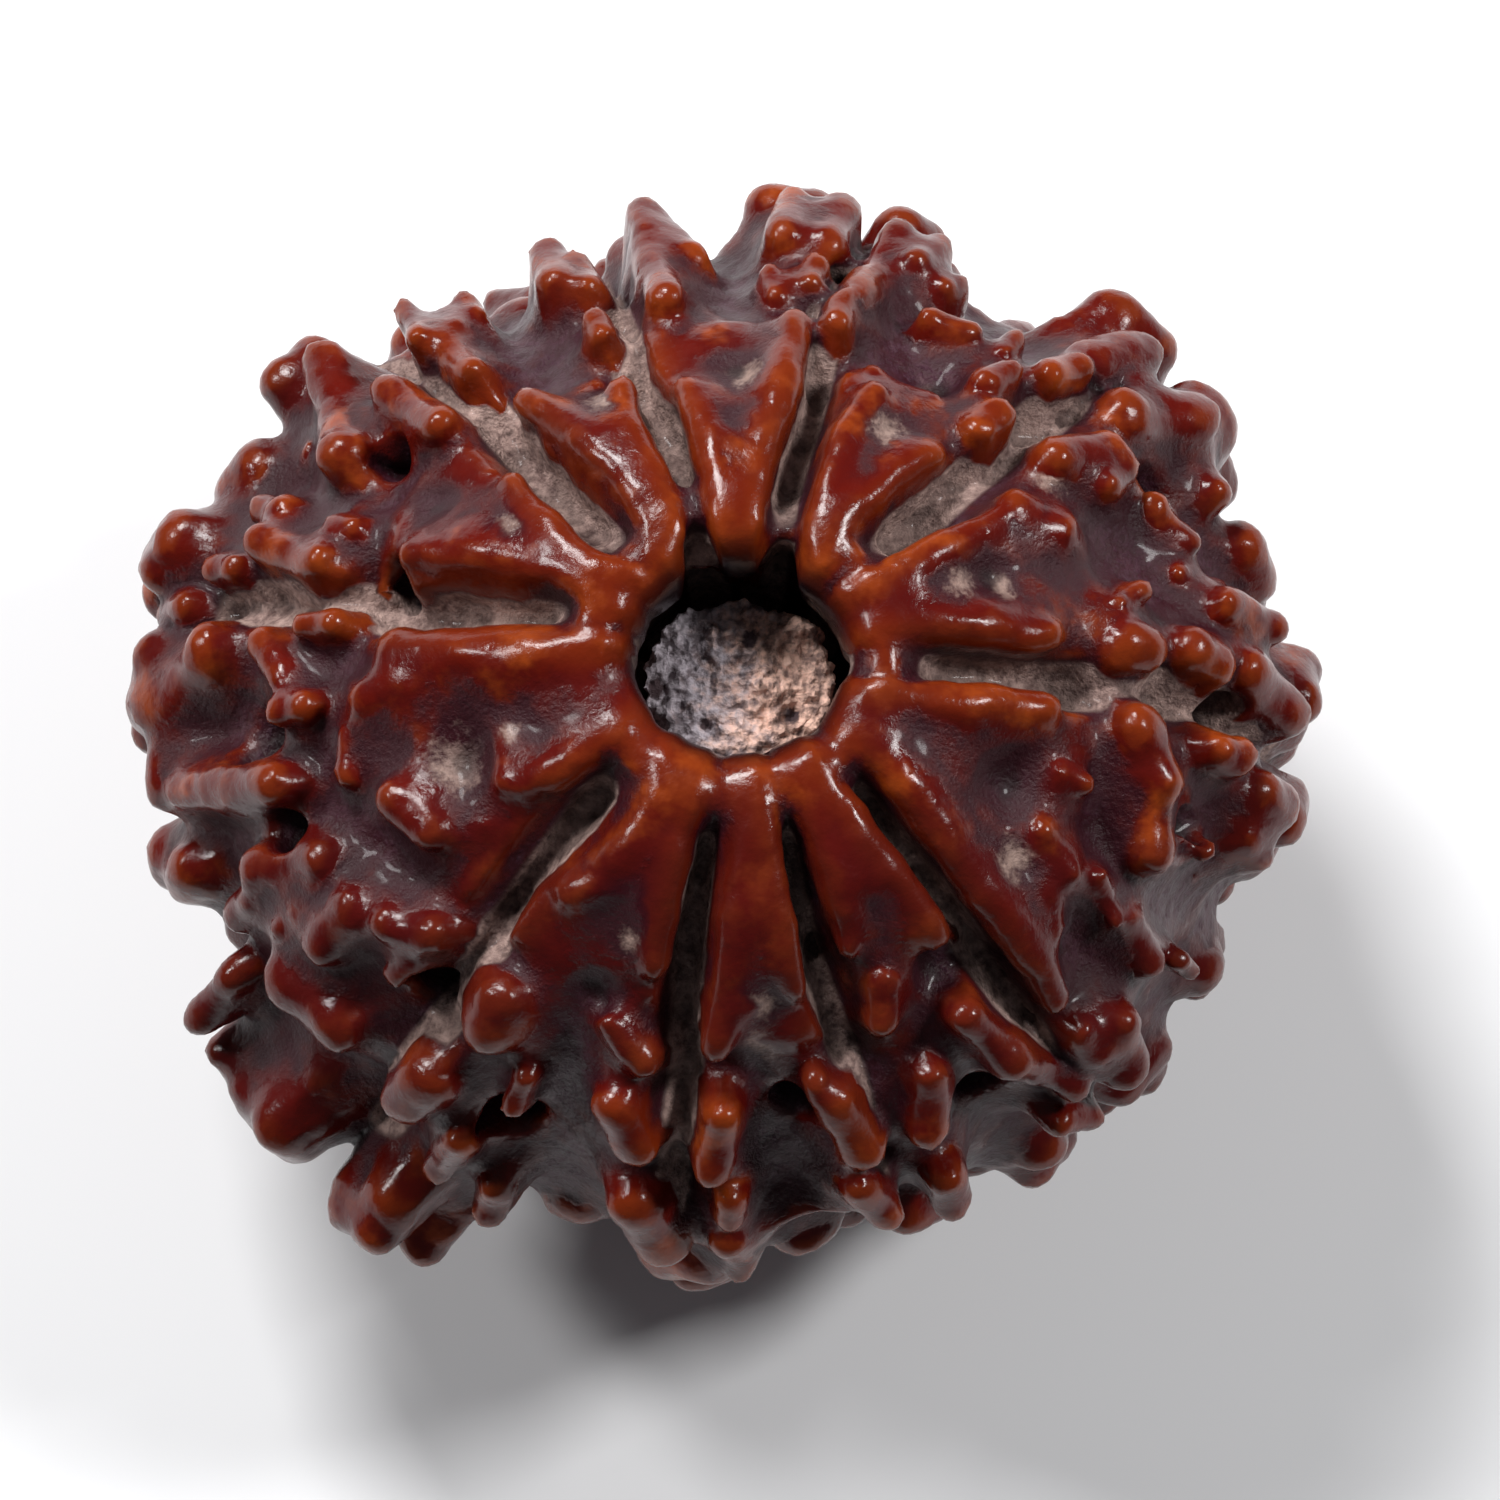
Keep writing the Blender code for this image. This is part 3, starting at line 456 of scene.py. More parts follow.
def place(bearing, colatitude, sink):
    """A point of the stone, sunk below the tips' surface, and the normal there."""
    if colatitude >= LIP_COLATITUDE:
        point, normal = reach_point(bearing, colatitude)
        return point - normal * sink, normal
    point, normal = reach_point(bearing, LIP_COLATITUDE)
    centre = point - normal * LIP_RADIUS
    outwards = Vector((normal.x, normal.y, 0)).normalized()
    tilt = math.atan2(math.hypot(normal.x, normal.y), normal.z)
    share = min(1.0, (LIP_COLATITUDE - colatitude) / LIP_COLATITUDE)
    turn = tilt - (tilt + math.pi / 2) * share
    normal = outwards * math.sin(turn) + Vector((0, 0, math.cos(turn)))
    drop = Vector((0, 0, min(0.0, colatitude) * CANAL_STEP))
    return centre + normal * (LIP_RADIUS - sink) + drop, normal


def ease(share):
    """0 to 1 with a soft start and end."""
    share = min(1.0, max(0.0, share))
    return share * share * (3 - 2 * share)


def ground_depth(colatitude):
    """How far the ground between the knobs lies below the tips."""
    share = math.sin(math.radians(max(0.0, colatitude))) ** 2
    return GROUND_AT_END + (GROUND_AT_GIRDLE - GROUND_AT_END) * share


def cleft_bearing(cleft, colatitude):
    """The bearing of a cleft where it crosses a colatitude."""
    for k in range(len(CLEFT_STATIONS) - 1):
        low, high = CLEFT_STATIONS[k:k + 2]
        if colatitude < high:
            share = max(0.0, (colatitude - low) / (high - low))
            return cleft[k] + (cleft[k + 1] - cleft[k]) * share
    return cleft[-1]


def cleft_and_lobe(bearing, colatitude):
    """Which cleft is nearest, how far away it is, and which lobe the place is on."""
    degree = math.radians(1) * REACH_X * math.sin(math.radians(max(colatitude, LIP_COLATITUDE)))
    past = [(bearing - cleft_bearing(cleft, colatitude)) % 360 for cleft in CLEFTS]
    lobe = past.index(min(past))
    apart = [min(turn, 360 - turn) for turn in past]
    nearest = apart.index(min(apart))
    return nearest, apart[nearest] * degree, lobe


def pit_depth(bearing, colatitude):
    """How much deeper the surface lies in a pit."""
    here, _ = reach_point(bearing, colatitude)
    for half_width, place_of_pit in PITS:
        away = (here - reach_point(*place_of_pit)[0]).length
        if away < 2 * half_width:
            return PIT_DEPTH * (1 - ease(away / half_width - 0.5))
    return 0.0


def core_depth(bearing, colatitude):
    """How far the core lies below the tips: webs, then the ground, with clefts and pits sunk in them."""
    nearest, away, lobe = cleft_and_lobe(bearing, colatitude)
    past_lip = ease((colatitude - LIP_COLATITUDE) / (WEB_FULL_BY - LIP_COLATITUDE))
    web = LIP_DEPTH + (WEB_DEPTH - LIP_DEPTH) * past_lip
    ground = ground_depth(colatitude)
    floor = LIP_CLEFT_DEPTH + (ground + CLEFT_DEPTH - LIP_CLEFT_DEPTH) * past_lip
    depth = web + (ground - web) * ease((colatitude - WEB_ENDS[lobe]) / WEB_DROP)
    sunk = 1 - ease((away - CLEFT_FLOORS[nearest]) / CLEFT_WALL)
    sunk *= ease((colatitude - CLEFT_STARTS[nearest]) / CLEFT_RISE)
    depth += (floor - depth) * sunk
    if PIT_BAND[0] < colatitude < PIT_BAND[1]:
        depth += pit_depth(bearing, colatitude)
    if colatitude > 90:
        depth *= ease((math.sin(math.radians(colatitude)) * REACH_X - SCAR_RADIUS) / SCAR_EDGE)
    if colatitude < 0:
        depth += CANAL_WIDENS * ease(-colatitude / CLEFT_RISE)
    return depth


def select_only(thing):
    """Makes an object the only one that is selected, and the active one."""
    bpy.ops.object.select_all(action="DESELECT")
    thing.select_set(True)
    bpy.context.view_layer.objects.active = thing


def apply_modifier(thing, kind, **values):
    """Adds a modifier with the values given and applies it."""
    select_only(thing)
    bpy.ops.object.modifier_add(type=kind)
    modifier = thing.modifiers[-1]
    for name, value in values.items():
        setattr(modifier, name, value)
    bpy.ops.object.modifier_apply(modifier=modifier.name)


def points_of(mesh):
    """The mesh's points as an array."""
    co = np.empty(len(mesh.vertices) * 3)
    mesh.vertices.foreach_get("co", co)
    return co.reshape(-1, 3)


def normals_of(mesh):
    """The mesh's point normals as an array."""
    normals = np.empty(len(mesh.vertices) * 3)
    mesh.vertex_normals.foreach_get("vector", normals)
    return normals.reshape(-1, 3)


def put_points(mesh, co):
    """Gives the mesh new places for its points."""
    mesh.vertices.foreach_set("co", np.asarray(co, dtype=np.float32).ravel())
    mesh.update()


def copy_of(thing):
    """A copy with a mesh of its own."""
    copy = thing.copy()
    copy.data = thing.data.copy()
    bpy.context.collection.objects.link(copy)
    return copy


def ball(name, segments, rings):
    """A ball with its poles on Z, as the start of a shape."""
    bpy.ops.object.select_all(action="DESELECT")
    bpy.ops.mesh.primitive_uv_sphere_add(segments=segments, ring_count=rings, radius=1)
    thing = bpy.context.object
    thing.name = name
    return thing


def model_core():
    """The stone without ribs and knobs: a ball whose rows are drawn over the lip and down the canal."""
    core = ball("stone_skin", CORE_COLUMNS, CORE_ROWS)
    co = points_of(core.data)
    floor, _ = place(0, CANAL_END, LIP_DEPTH)
    for k, (x, y, z) in enumerate(co):
        share = math.acos(max(-1.0, min(1.0, z))) / math.pi
        bearing = math.degrees(math.atan2(y, x)) % 360
        row = CANAL_END + (180 - CANAL_END) * share
        if k and math.hypot(x, y) < POLE:
            co[k] = (0, 0, floor.z) if z > 0 else reach_point(0, 180)[0]
        else:
            co[k] = place(bearing, row, core_depth(bearing, row))[0]
    put_points(core.data, co)
    return core


def crest_path(stations):
    """Places along a crest: a smooth curve through its stations, a fixed step apart."""
    marks = [Vector(s) for s in stations]
    marks = [marks[0] * 2 - marks[1]] + marks + [marks[-1] * 2 - marks[-2]]
    path = []
    for a, b, c, d in zip(marks, marks[1:], marks[2:], marks[3:]):
        run = place(b.x, b.y, 0)[0] - place(c.x, c.y, 0)[0]
        steps = max(1, round(run.length / STEP))
        for k in range(steps):
            t = k / steps
            twice = 2 * b + (c - a) * t
            twice += (2 * a - 5 * b + 4 * c - d) * t ** 2
            twice += (3 * b - a - 3 * c + d) * t ** 3
            path.append(twice / 2)
    path.append(marks[-2])
    return path


def outline_reach(bearing):
    """How far the tips reach past their usual surface at the outline."""
    bearing %= 360
    for (a, low), (b, high) in zip(OUTLINE, OUTLINE[1:]):
        if bearing <= b:
            return low + (high - low) * (bearing - a) / (b - a)
    return OUTLINE[-1][1]


def crest_sink(outer_bearing, colatitude, sink):
    """How far a crest stays below the tips' surface. At the outline its outer end makes a tooth there."""
    edge = 90 - OUTLINE_TILT * math.sin(math.radians(outer_bearing))
    near = ease((colatitude - edge + OUTLINE_ABOVE) / OUTLINE_FADE)
    near *= 1 - ease((colatitude - edge - OUTLINE_BELOW) / OUTLINE_FADE)
    return sink + (-outline_reach(outer_bearing) - TIP_LOSS - sink) * near


def rib_narrowing(colatitude):
    """How much narrower a rib is where it rolls over the lip."""
    narrowest = LIP_COLATITUDE / 2
    share = ease((colatitude - narrowest) / (RIB_FULL_BY - narrowest))
    return RIB_NARROW + (1 - RIB_NARROW) * share


def section_point(turn, half_width, root_depth, flanks):
    """A point of the outline across a rib or knob, and its flare: a round crest above flaring flanks."""
    if math.sin(turn) >= -ROUND_OFF:
        return half_width * math.cos(turn), half_width * (math.sin(turn) - 1), 1.0
    share = -math.sin(turn)
    flare = np.interp(share, [0] + [f[0] for f in flanks], [1] + [f[1] for f in flanks])
    side = 0.0 if abs(math.cos(turn)) < ROUND_OFF else math.copysign(flare, math.cos(turn))
    return half_width * side, -half_width - max(LEAST_FLANK, root_depth - half_width) * share, flare


def crest_line(half_width, sink, stations, ribbed):
    """Along a crest: its points and normals, how far its root reaches down, and its half width."""
    path = crest_path(stations)
    line = []
    for k, (bearing, colatitude) in enumerate(path):
        sunk = crest_sink(stations[-1][0], colatitude, sink)
        if ribbed:
            fading = ease((k / (len(path) - 1) - RIB_FADES_FROM) / (1 - RIB_FADES_FROM))
            sunk += RIB_FADE * fading
            narrowing = rib_narrowing(colatitude) * (1 - RIB_TAPER * fading)
        else:
            length = min(SADDLE_LONGEST, len(path) * STEP - half_width)
            sunk += SADDLE * length * math.sin(math.pi * k / (len(path) - 1))
            narrowing = KNOB_TIP
        point, normal = place(bearing, colatitude, sunk)
        depth = ground_depth(colatitude) + CLEFT_DEPTH + ROOT - sunk
        line.append((point, normal, depth, half_width * narrowing))
    return line


def ring_frame(line, ring, rings):
    """Where a ring of the ball goes along a crest: its middle, normal, half width, root and turn.

    The first and last rings close the ends round, so they go onwards past the end of the line.
    """
    ends = len(END_TURNS)
    if ring <= ends:
        at, way, turn = 0.0, (line[0][0] - line[1][0]).normalized(), END_TURNS[max(0, ring - 1)]
    elif ring >= rings - ends:
        at, way = len(line) - 1.0, (line[-1][0] - line[-2][0]).normalized()
        turn = END_TURNS[max(0, rings - ring - 1)]
    else:
        at = (ring - ends - 1) / (rings - 2 * ends - 2) * (len(line) - 1)
        way, turn = Vector(), 0
    low = min(int(at), len(line) - 2)
    part = at - low
    (point, normal, depth, width), (next_point, next_normal, next_depth, next_width) = line[low:low + 2]
    turn = math.radians(turn)
    width = width * (1 - part) + next_width * part
    depth = depth * (1 - part) + next_depth * part
    normal = normal.lerp(next_normal, part).normalized()
    onwards = way * width * math.sin(turn)
    return point.lerp(next_point, part) + onwards, normal, width, depth, turn, onwards


def lay_crest(bar, half_width, sink, stations, flanks):
    """Lays a copy of the ball along a crest: its rings are drawn out along it, and its ends stay round."""
    line = crest_line(half_width, sink, stations, flanks is RIB_FLANKS)
    rings = BAR_RINGS[bar.name]
    frames = [ring_frame(line, ring, rings) for ring in range(rings + 1)]
    sides = []
    for ring, (_, normal, *_) in enumerate(frames):
        ahead = frames[min(ring + 1, rings - 1)][0] - frames[max(ring - 1, 1)][0]
        sides.append(ahead.cross(normal).normalized())

    crest = copy_of(bar)
    co = points_of(crest.data)
    ring_of = np.rint(np.arccos(np.clip(co[:, 2], -1, 1)) / math.pi * rings).astype(int)
    turn_of = np.arctan2(co[:, 1], co[:, 0])
    for k, ring in enumerate(ring_of):
        centre, normal, width, depth, turn, onwards = frames[ring]
        narrow = width * math.cos(turn)
        top = centre - normal * width * (1 - math.cos(turn))
        if ring in (0, rings):
            across, up, flare = 0.0, -narrow, 1.0
        else:
            across, up, flare = section_point(turn_of[k], narrow, depth - (width - narrow), flanks)
        co[k] = top + sides[ring] * across + normal * up + onwards * (flare - 1)
    put_points(crest.data, co)
    return crest


def rule_knobs(rng):
    """The knobs and ribs that the photograph doesn't show, on every lobe between two clefts."""
    lobes = []
    for k, cleft in enumerate(CLEFTS):
        left = cleft[2]
        right = CLEFTS[(k + 1) % len(CLEFTS)][2]
        lobes.append((left, (right - left) % 360))
    for row in RULE_ROWS:
        degree = math.radians(1) * REACH_X * math.sin(math.radians(row))
        for left, width in lobes:
            count = max(2, round(width * degree / RULE_SPACING))
            for k in range(count):
                bearing = left + width * (k + 0.5 + rng.uniform(-RULE_WANDER, RULE_WANDER)) / count
                colatitude = row + RULE_LENGTH * rng.uniform(-RULE_STRAY, RULE_STRAY)
                half_width = rng.uniform(*RULE_HALF_WIDTH)
                sink = RULE_SINK * rng.random()
                lean = rng.uniform(-RULE_LEAN, RULE_LEAN)
                half = RULE_LENGTH * rng.uniform(RULE_SHORTEST, 1.0) / 2
                start = RULE_START - RULE_START_TILT * math.sin(math.radians(bearing))
                if colatitude > start:
                    ends = ((bearing - lean, colatitude - half), (bearing + lean, colatitude + half))
                    yield half_width, sink, ends
    for left, width in lobes:
        for side in RULE_RIB_SIDES:
            bearing = left + width * side
            yield RULE_RIB_HALF_WIDTH, 0.0, [(bearing, c) for c in RULE_RIB]


def model_stone():
    """The whole stone: core, ribs and knobs joined and fused to one skin."""
    knob_bar = ball("knob_bar", RING_POINTS, KNOB_RINGS)
    rib_bar = ball("rib_bar", RING_POINTS, RIB_RINGS)
    crests = []
    for half_width, *stations in RIBS:
        bearing, colatitude = stations[-1]
        stations[-1] = (bearing, colatitude - half_width / RIB_END_STEP)
        crests.append(lay_crest(rib_bar, half_width, 0.0, stations, RIB_FLANKS))
    for half_width, sink, *stations in KNOBS:
        crests.append(lay_crest(knob_bar, half_width, sink, stations, KNOB_FLANKS))
    for half_width, sink, stations in rule_knobs(random.Random(SEED)):
        crests.append(lay_crest(knob_bar, half_width, sink, stations, KNOB_FLANKS))
    for bar in (knob_bar, rib_bar):
        bpy.data.objects.remove(bar)

    stone = model_core()
    select_only(stone)
    for crest in crests:
        crest.select_set(True)
    bpy.ops.object.join()
    bpy.ops.object.mode_set(mode="EDIT")
    bpy.ops.mesh.select_all(action="SELECT")
    bpy.ops.mesh.normals_make_consistent(inside=False)
    bpy.ops.object.mode_set(mode="OBJECT")
    apply_modifier(stone, "REMESH", mode="VOXEL", voxel_size=STONE_VOXEL)
    apply_modifier(stone, "SMOOTH", factor=SMOOTHING, iterations=STONE_ROUNDS)
    return stone


def neighbours_mean(co, edges, count):
    """The mean of each point's neighbours."""
    total = np.zeros_like(co)
    for axis in range(co.shape[1]):
        total[:, axis] += np.bincount(edges[:, 0], weights=co[edges[:, 1], axis], minlength=len(co))
        total[:, axis] += np.bincount(edges[:, 1], weights=co[edges[:, 0], axis], minlength=len(co))
    return total / count[:, None]


def edges_of(mesh):
    """The mesh's edges as pairs of points, and how many each point has."""
    edges = np.empty(len(mesh.edges) * 2, dtype=np.int32)
    mesh.edges.foreach_get("vertices", edges)
    edges = edges.reshape(-1, 2)
    return edges, np.bincount(edges.ravel(), minlength=len(mesh.vertices)).clip(1)


def blurred(values, mesh, rounds):
    """Values spread over the surface, so that each point takes up what lies round it."""
    edges, count = edges_of(mesh)
    for _ in range(rounds):
        values = (values + neighbours_mean(values, edges, count)) / 2
    return values


def depth_below_tips(co):
    """How far each point lies below the surface that the tips reach."""
    up = np.where(co[:, 2] > GIRDLE_HEIGHT, REACH_UP, REACH_DOWN)
    way = np.stack((co[:, 0] / REACH_X, co[:, 1] / REACH_Y, (co[:, 2] - GIRDLE_HEIGHT) / up), axis=1)
    share = np.linalg.norm(way, axis=1)
    length = np.linalg.norm(co - (0, 0, GIRDLE_HEIGHT), axis=1)
    return length / share * (1 - share)


def bulge_of(mesh, rounds):
    """How far each point stands out of the surface round it. It is negative in a hollow."""
    co = points_of(mesh)
    return ((co - blurred(co, mesh, rounds)) * normals_of(mesh)).sum(axis=1)


def soften_hollows(stone):
    """Fills the creases between knobs with wide fillets, and leaves the crests and the clefts as they are."""
    edges, count = edges_of(stone.data)
    co = points_of(stone.data)
    near, _ = cleft_nearness(co)
    free = 1 - np.clip(near * CLEFT_KEEPS, 0, 1)
    for k in range(FILL_ROUNDS):
        if k % NORMALS_EVERY == 0:
            put_points(stone.data, co)
            normals = normals_of(stone.data)
        mean = neighbours_mean(co, edges, count)
        rise = ((mean - co) * normals).sum(axis=1)
        weight = (np.clip(rise / HOLLOW_RISE, 0, 1) * free)[:, None]
        co = co + (mean - co) * weight * FILL_SHARE
    put_points(stone.data, co)


def set_attribute(mesh, name, values):
    """Keeps a value for each point, which the material reads."""
    attribute = mesh.attributes.new(name, "FLOAT", "POINT")
    attribute.data.foreach_set("value", np.asarray(values, dtype=np.float32))


def texture(name, kind, scale):
    """A pattern for the relief of a surface."""
    pattern = bpy.data.textures.new(name, kind)
    pattern.noise_scale = scale
    return pattern


def roughen(thing, pattern, strength, level=0.5, group=""):
    """Pushes a surface in and out by a pattern, all over or by the weights of a group of points."""
    apply_modifier(thing, "DISPLACE", texture=pattern, strength=strength, mid_level=level,
                   texture_coords="LOCAL", vertex_group=group)


def weigh(thing, name, values):
    """A group of points with a weight each, which says where a modifier acts."""
    group = thing.vertex_groups.new(name=name)
    steps = np.rint(np.clip(values, 0, 1) * WEIGHT_STEPS).astype(int)
    for step in range(1, WEIGHT_STEPS + 1):
        group.add(np.nonzero(steps == step)[0].tolist(), step / WEIGHT_STEPS, "REPLACE")


def smooth_where(thing, name, values, rounds):
    """Smooths a surface as far as a weight for each point says."""
    weigh(thing, name, values)
    apply_modifier(thing, "SMOOTH", factor=SMOOTHING, iterations=rounds, vertex_group=name)


def cleft_nearness(co, wall=CLEFT_WALL):
    """How near each point is to the floor of a cleft, from 0 to 1 over a wall of a width."""
    near = np.zeros(len(co))
    bearing = np.degrees(np.arctan2(co[:, 1], co[:, 0])) % 360
    up = np.where(co[:, 2] > GIRDLE_HEIGHT, REACH_UP, REACH_DOWN)
    flat = np.hypot(co[:, 0] / REACH_X, co[:, 1] / REACH_Y)
    colatitude = np.degrees(np.arctan2(flat, (co[:, 2] - GIRDLE_HEIGHT) / up))
    across = np.hypot(co[:, 0], co[:, 1])
    for cleft, floor in zip(CLEFTS, CLEFT_FLOORS):
        line = np.interp(colatitude, CLEFT_STATIONS, cleft)
        away = np.abs((bearing - line + 180) % 360 - 180) * math.radians(1) * across
        near = np.maximum(near, 1 - np.clip((away - floor) / wall, 0, 1))
    return near, colatitude


def nearness(co, marks):
    """How near each point is to the axis of the nearest mark, from 0 at its rim to 1."""
    near = np.zeros(len(co))
    for radius, where in marks:
        tip, normal = (np.array(v) for v in place(*where, 0))
        along = (co - tip) @ normal
        away = np.linalg.norm(co - tip - along[:, None] * normal, axis=1)
        near = np.maximum(near, (1 - np.clip(away / radius, 0, 1)) * (np.abs(along) < MARK_REACH))
    return near


def ease_all(share):
    """The same soft start and end as ease, for an array."""
    return share * share * (3 - 2 * share)


def sink_marks(stone, marks, sink, free):
    """Sinks the surface at marks, and leaves what stands nearer to the tips than a depth."""
    least, full = free
    co = points_of(stone.data)
    share = ease_all(nearness(co, marks)) * np.clip((depth_below_tips(co) - least) / (full - least), 0, 1)
    put_points(stone.data, co - normals_of(stone.data) * (share * sink)[:, None])


def thin_and_flatten(stone):
    """Brings the mesh to its number of triangles and cuts it level where it rests."""
    triangles = sum(len(p.vertices) - 2 for p in stone.data.polygons)
    apply_modifier(stone, "DECIMATE", ratio=min(1.0, STONE_TRIANGLES / triangles))
    select_only(stone)
    bpy.ops.object.mode_set(mode="EDIT")
    bpy.ops.mesh.select_all(action="SELECT")
    bpy.ops.mesh.bisect(plane_co=(0, 0, FLAT_HEIGHT), plane_no=(0, 0, 1), clear_inner=True, use_fill=True)
    bpy.ops.mesh.select_all(action="SELECT")
    bpy.ops.mesh.quads_convert_to_tris()
    bpy.ops.object.mode_set(mode="OBJECT")
    stone.vertex_groups.clear()


def keep_values(mesh):
    """Keeps what the surface is like at each point, which the finish is mixed by."""
    co = points_of(mesh)
    depth = depth_below_tips(co)
    fine = bulge_of(mesh, FINE_ROUNDS)
    broad = bulge_of(mesh, BROAD_ROUNDS)
    near, colatitude = cleft_nearness(co)
    ground = GROUND_AT_END + (GROUND_AT_GIRDLE - GROUND_AT_END) * np.sin(np.radians(colatitude)) ** 2
    dusty = np.clip((depth - DUST_FROM) / DUST_FROM, 0, 1) * np.clip(1 - broad / DUST_BULGE, 0, 1)
    inside = np.clip((CANAL_MOUTH - np.hypot(co[:, 0], co[:, 1])) / CANAL_BLEND, 0, 1)
    values = {
        "height": np.clip(1 - depth / ground, *HEIGHT_RANGE),
        "bulge": blurred(fine[:, None] / FINE_BULGE, mesh, 1)[:, 0],
        "broad": blurred(broad[:, None] / BROAD_BULGE, mesh, 2)[:, 0],
        "cleft": near * dusty,
        # Bank places a painted glow, and pit and canal place painted shade.
        "bank": cleft_nearness(co, BANK)[0] * (colatitude < BANK_END),
        "dish": nearness(co, DISHES),
        "pit": nearness(co, DEEP_PITS) * np.clip((depth - DARK_FROM) / DARK_OVER, 0, 1),
        "spot": nearness(co, SPOTS),
        "canal": inside * (co[:, 2] > GIRDLE_HEIGHT),
    }
    for name, value in values.items():
        set_attribute(mesh, name, value)


def finish_stone():
    """Models the stone and gives it its fine relief and the values that its finish is mixed by."""
    stone = model_stone()
    soften_hollows(stone)
    roughen(stone, texture("wobble", "CLOUDS", WOBBLE_SIZE), WOBBLE)
    co = points_of(stone.data)
    hollow = -bulge_of(stone.data, FINE_ROUNDS) / GRIT_HOLLOW
    gritty = np.clip(hollow + depth_below_tips(co) - GRIT_FROM, 0, 1)
    lip = np.clip((LIP_REACH - np.hypot(co[:, 0], co[:, 1])) / LIP_BLEND, 0, 1) * (co[:, 2] > LIP_FOOT)
    lip = lip * (1 - cleft_nearness(co)[0])
    sink_marks(stone, DISHES, DISH_DEPTH, DISH_FREE)
    sink_marks(stone, DEEP_PITS, PIT_DEPTH, DEEP_FREE)
    wide_dishes = [(radius * DISH_RIM, where) for radius, where in DISHES]
    smooth_where(stone, "dished", nearness(points_of(stone.data), wide_dishes) * DISH_GRIP, DISH_ROUNDS)
    smooth_where(stone, "lip", lip, LIP_ROUNDS)
    weigh(stone, "hollows", gritty)
    roughen(stone, texture("grit", "CLOUDS", GRIT_SIZE), GRIT, group="hollows")
    thin_and_flatten(stone)
    keep_values(stone.data)
    stone.data.transform(Matrix.Scale(MM, 4))
    select_only(stone)
    bpy.ops.object.shade_smooth()
    return stone


def pith_radius(bearing):
    """The radius of the pith's outline at a bearing."""
    for (a, low), (b, high) in zip(PITH_OUTLINE, PITH_OUTLINE[1:]):
        if bearing <= b:
            return low + (high - low) * ease((bearing - a) / (b - a))
    return PITH_OUTLINE[-1][1]


def model_pith():
    """The plug of pith: a stump that follows the plug's outline, with a crumbly top."""
    bpy.ops.object.select_all(action="DESELECT")
    bpy.ops.mesh.primitive_cylinder_add(vertices=PITH_SIDES, radius=1, depth=PITH_TOP - PITH_FOOT,
                                        location=(0, 0, (PITH_TOP + PITH_FOOT) / 2))
    pith = bpy.context.object
    pith.name = "pith_plug"
    bpy.ops.object.transform_apply(location=True)
    bpy.ops.object.mode_set(mode="EDIT")
    bpy.ops.mesh.select_all(action="SELECT")
    bpy.ops.mesh.bevel(offset=PITH_EDGE, segments=3, affect="EDGES")
    bpy.ops.object.mode_set(mode="OBJECT")
    co = points_of(pith.data)
    for k, (x, y, z) in enumerate(co):
        radius = pith_radius(math.degrees(math.atan2(y, x)) % 360)
        co[k] = (x * radius, y * radius, z)
    put_points(pith.data, co)
    apply_modifier(pith, "REMESH", mode="VOXEL", voxel_size=PITH_VOXEL)
    roughen(pith, texture("lumps", "CLOUDS", LUMP_SIZE), LUMPS, LUMP_LEVEL)
    crystals = texture("crystals", "VORONOI", CRYSTAL_SIZE)
    crystals.distance_metric = "DISTANCE"
    roughen(pith, crystals, CRYSTALS, CRYSTAL_LEVEL)
    co = points_of(pith.data)
    pit = np.zeros(len(co))
    for radius, sink, where in PITH_PITS:
        share = ease_all(1 - np.clip(np.linalg.norm(co[:, :2] - where, axis=1) / radius, 0, 1))
        co[:, 2] -= sink * share * (co[:, 2] > PITH_TOP - PITH_CAP)
        pit = np.maximum(pit, share * (sink > 0))
    put_points(pith.data, co)
    # Where the pits sink, for the painted shade in them.
    set_attribute(pith.data, "pit", pit)
    pith.data.transform(Matrix.Scale(MM, 4))
    select_only(pith)
    bpy.ops.object.shade_smooth_by_angle(angle=math.radians(PITH_CREASE))
    return pith


# How ragged the cloudy noises are.
CLOUD_ROUGHNESS = 0.6


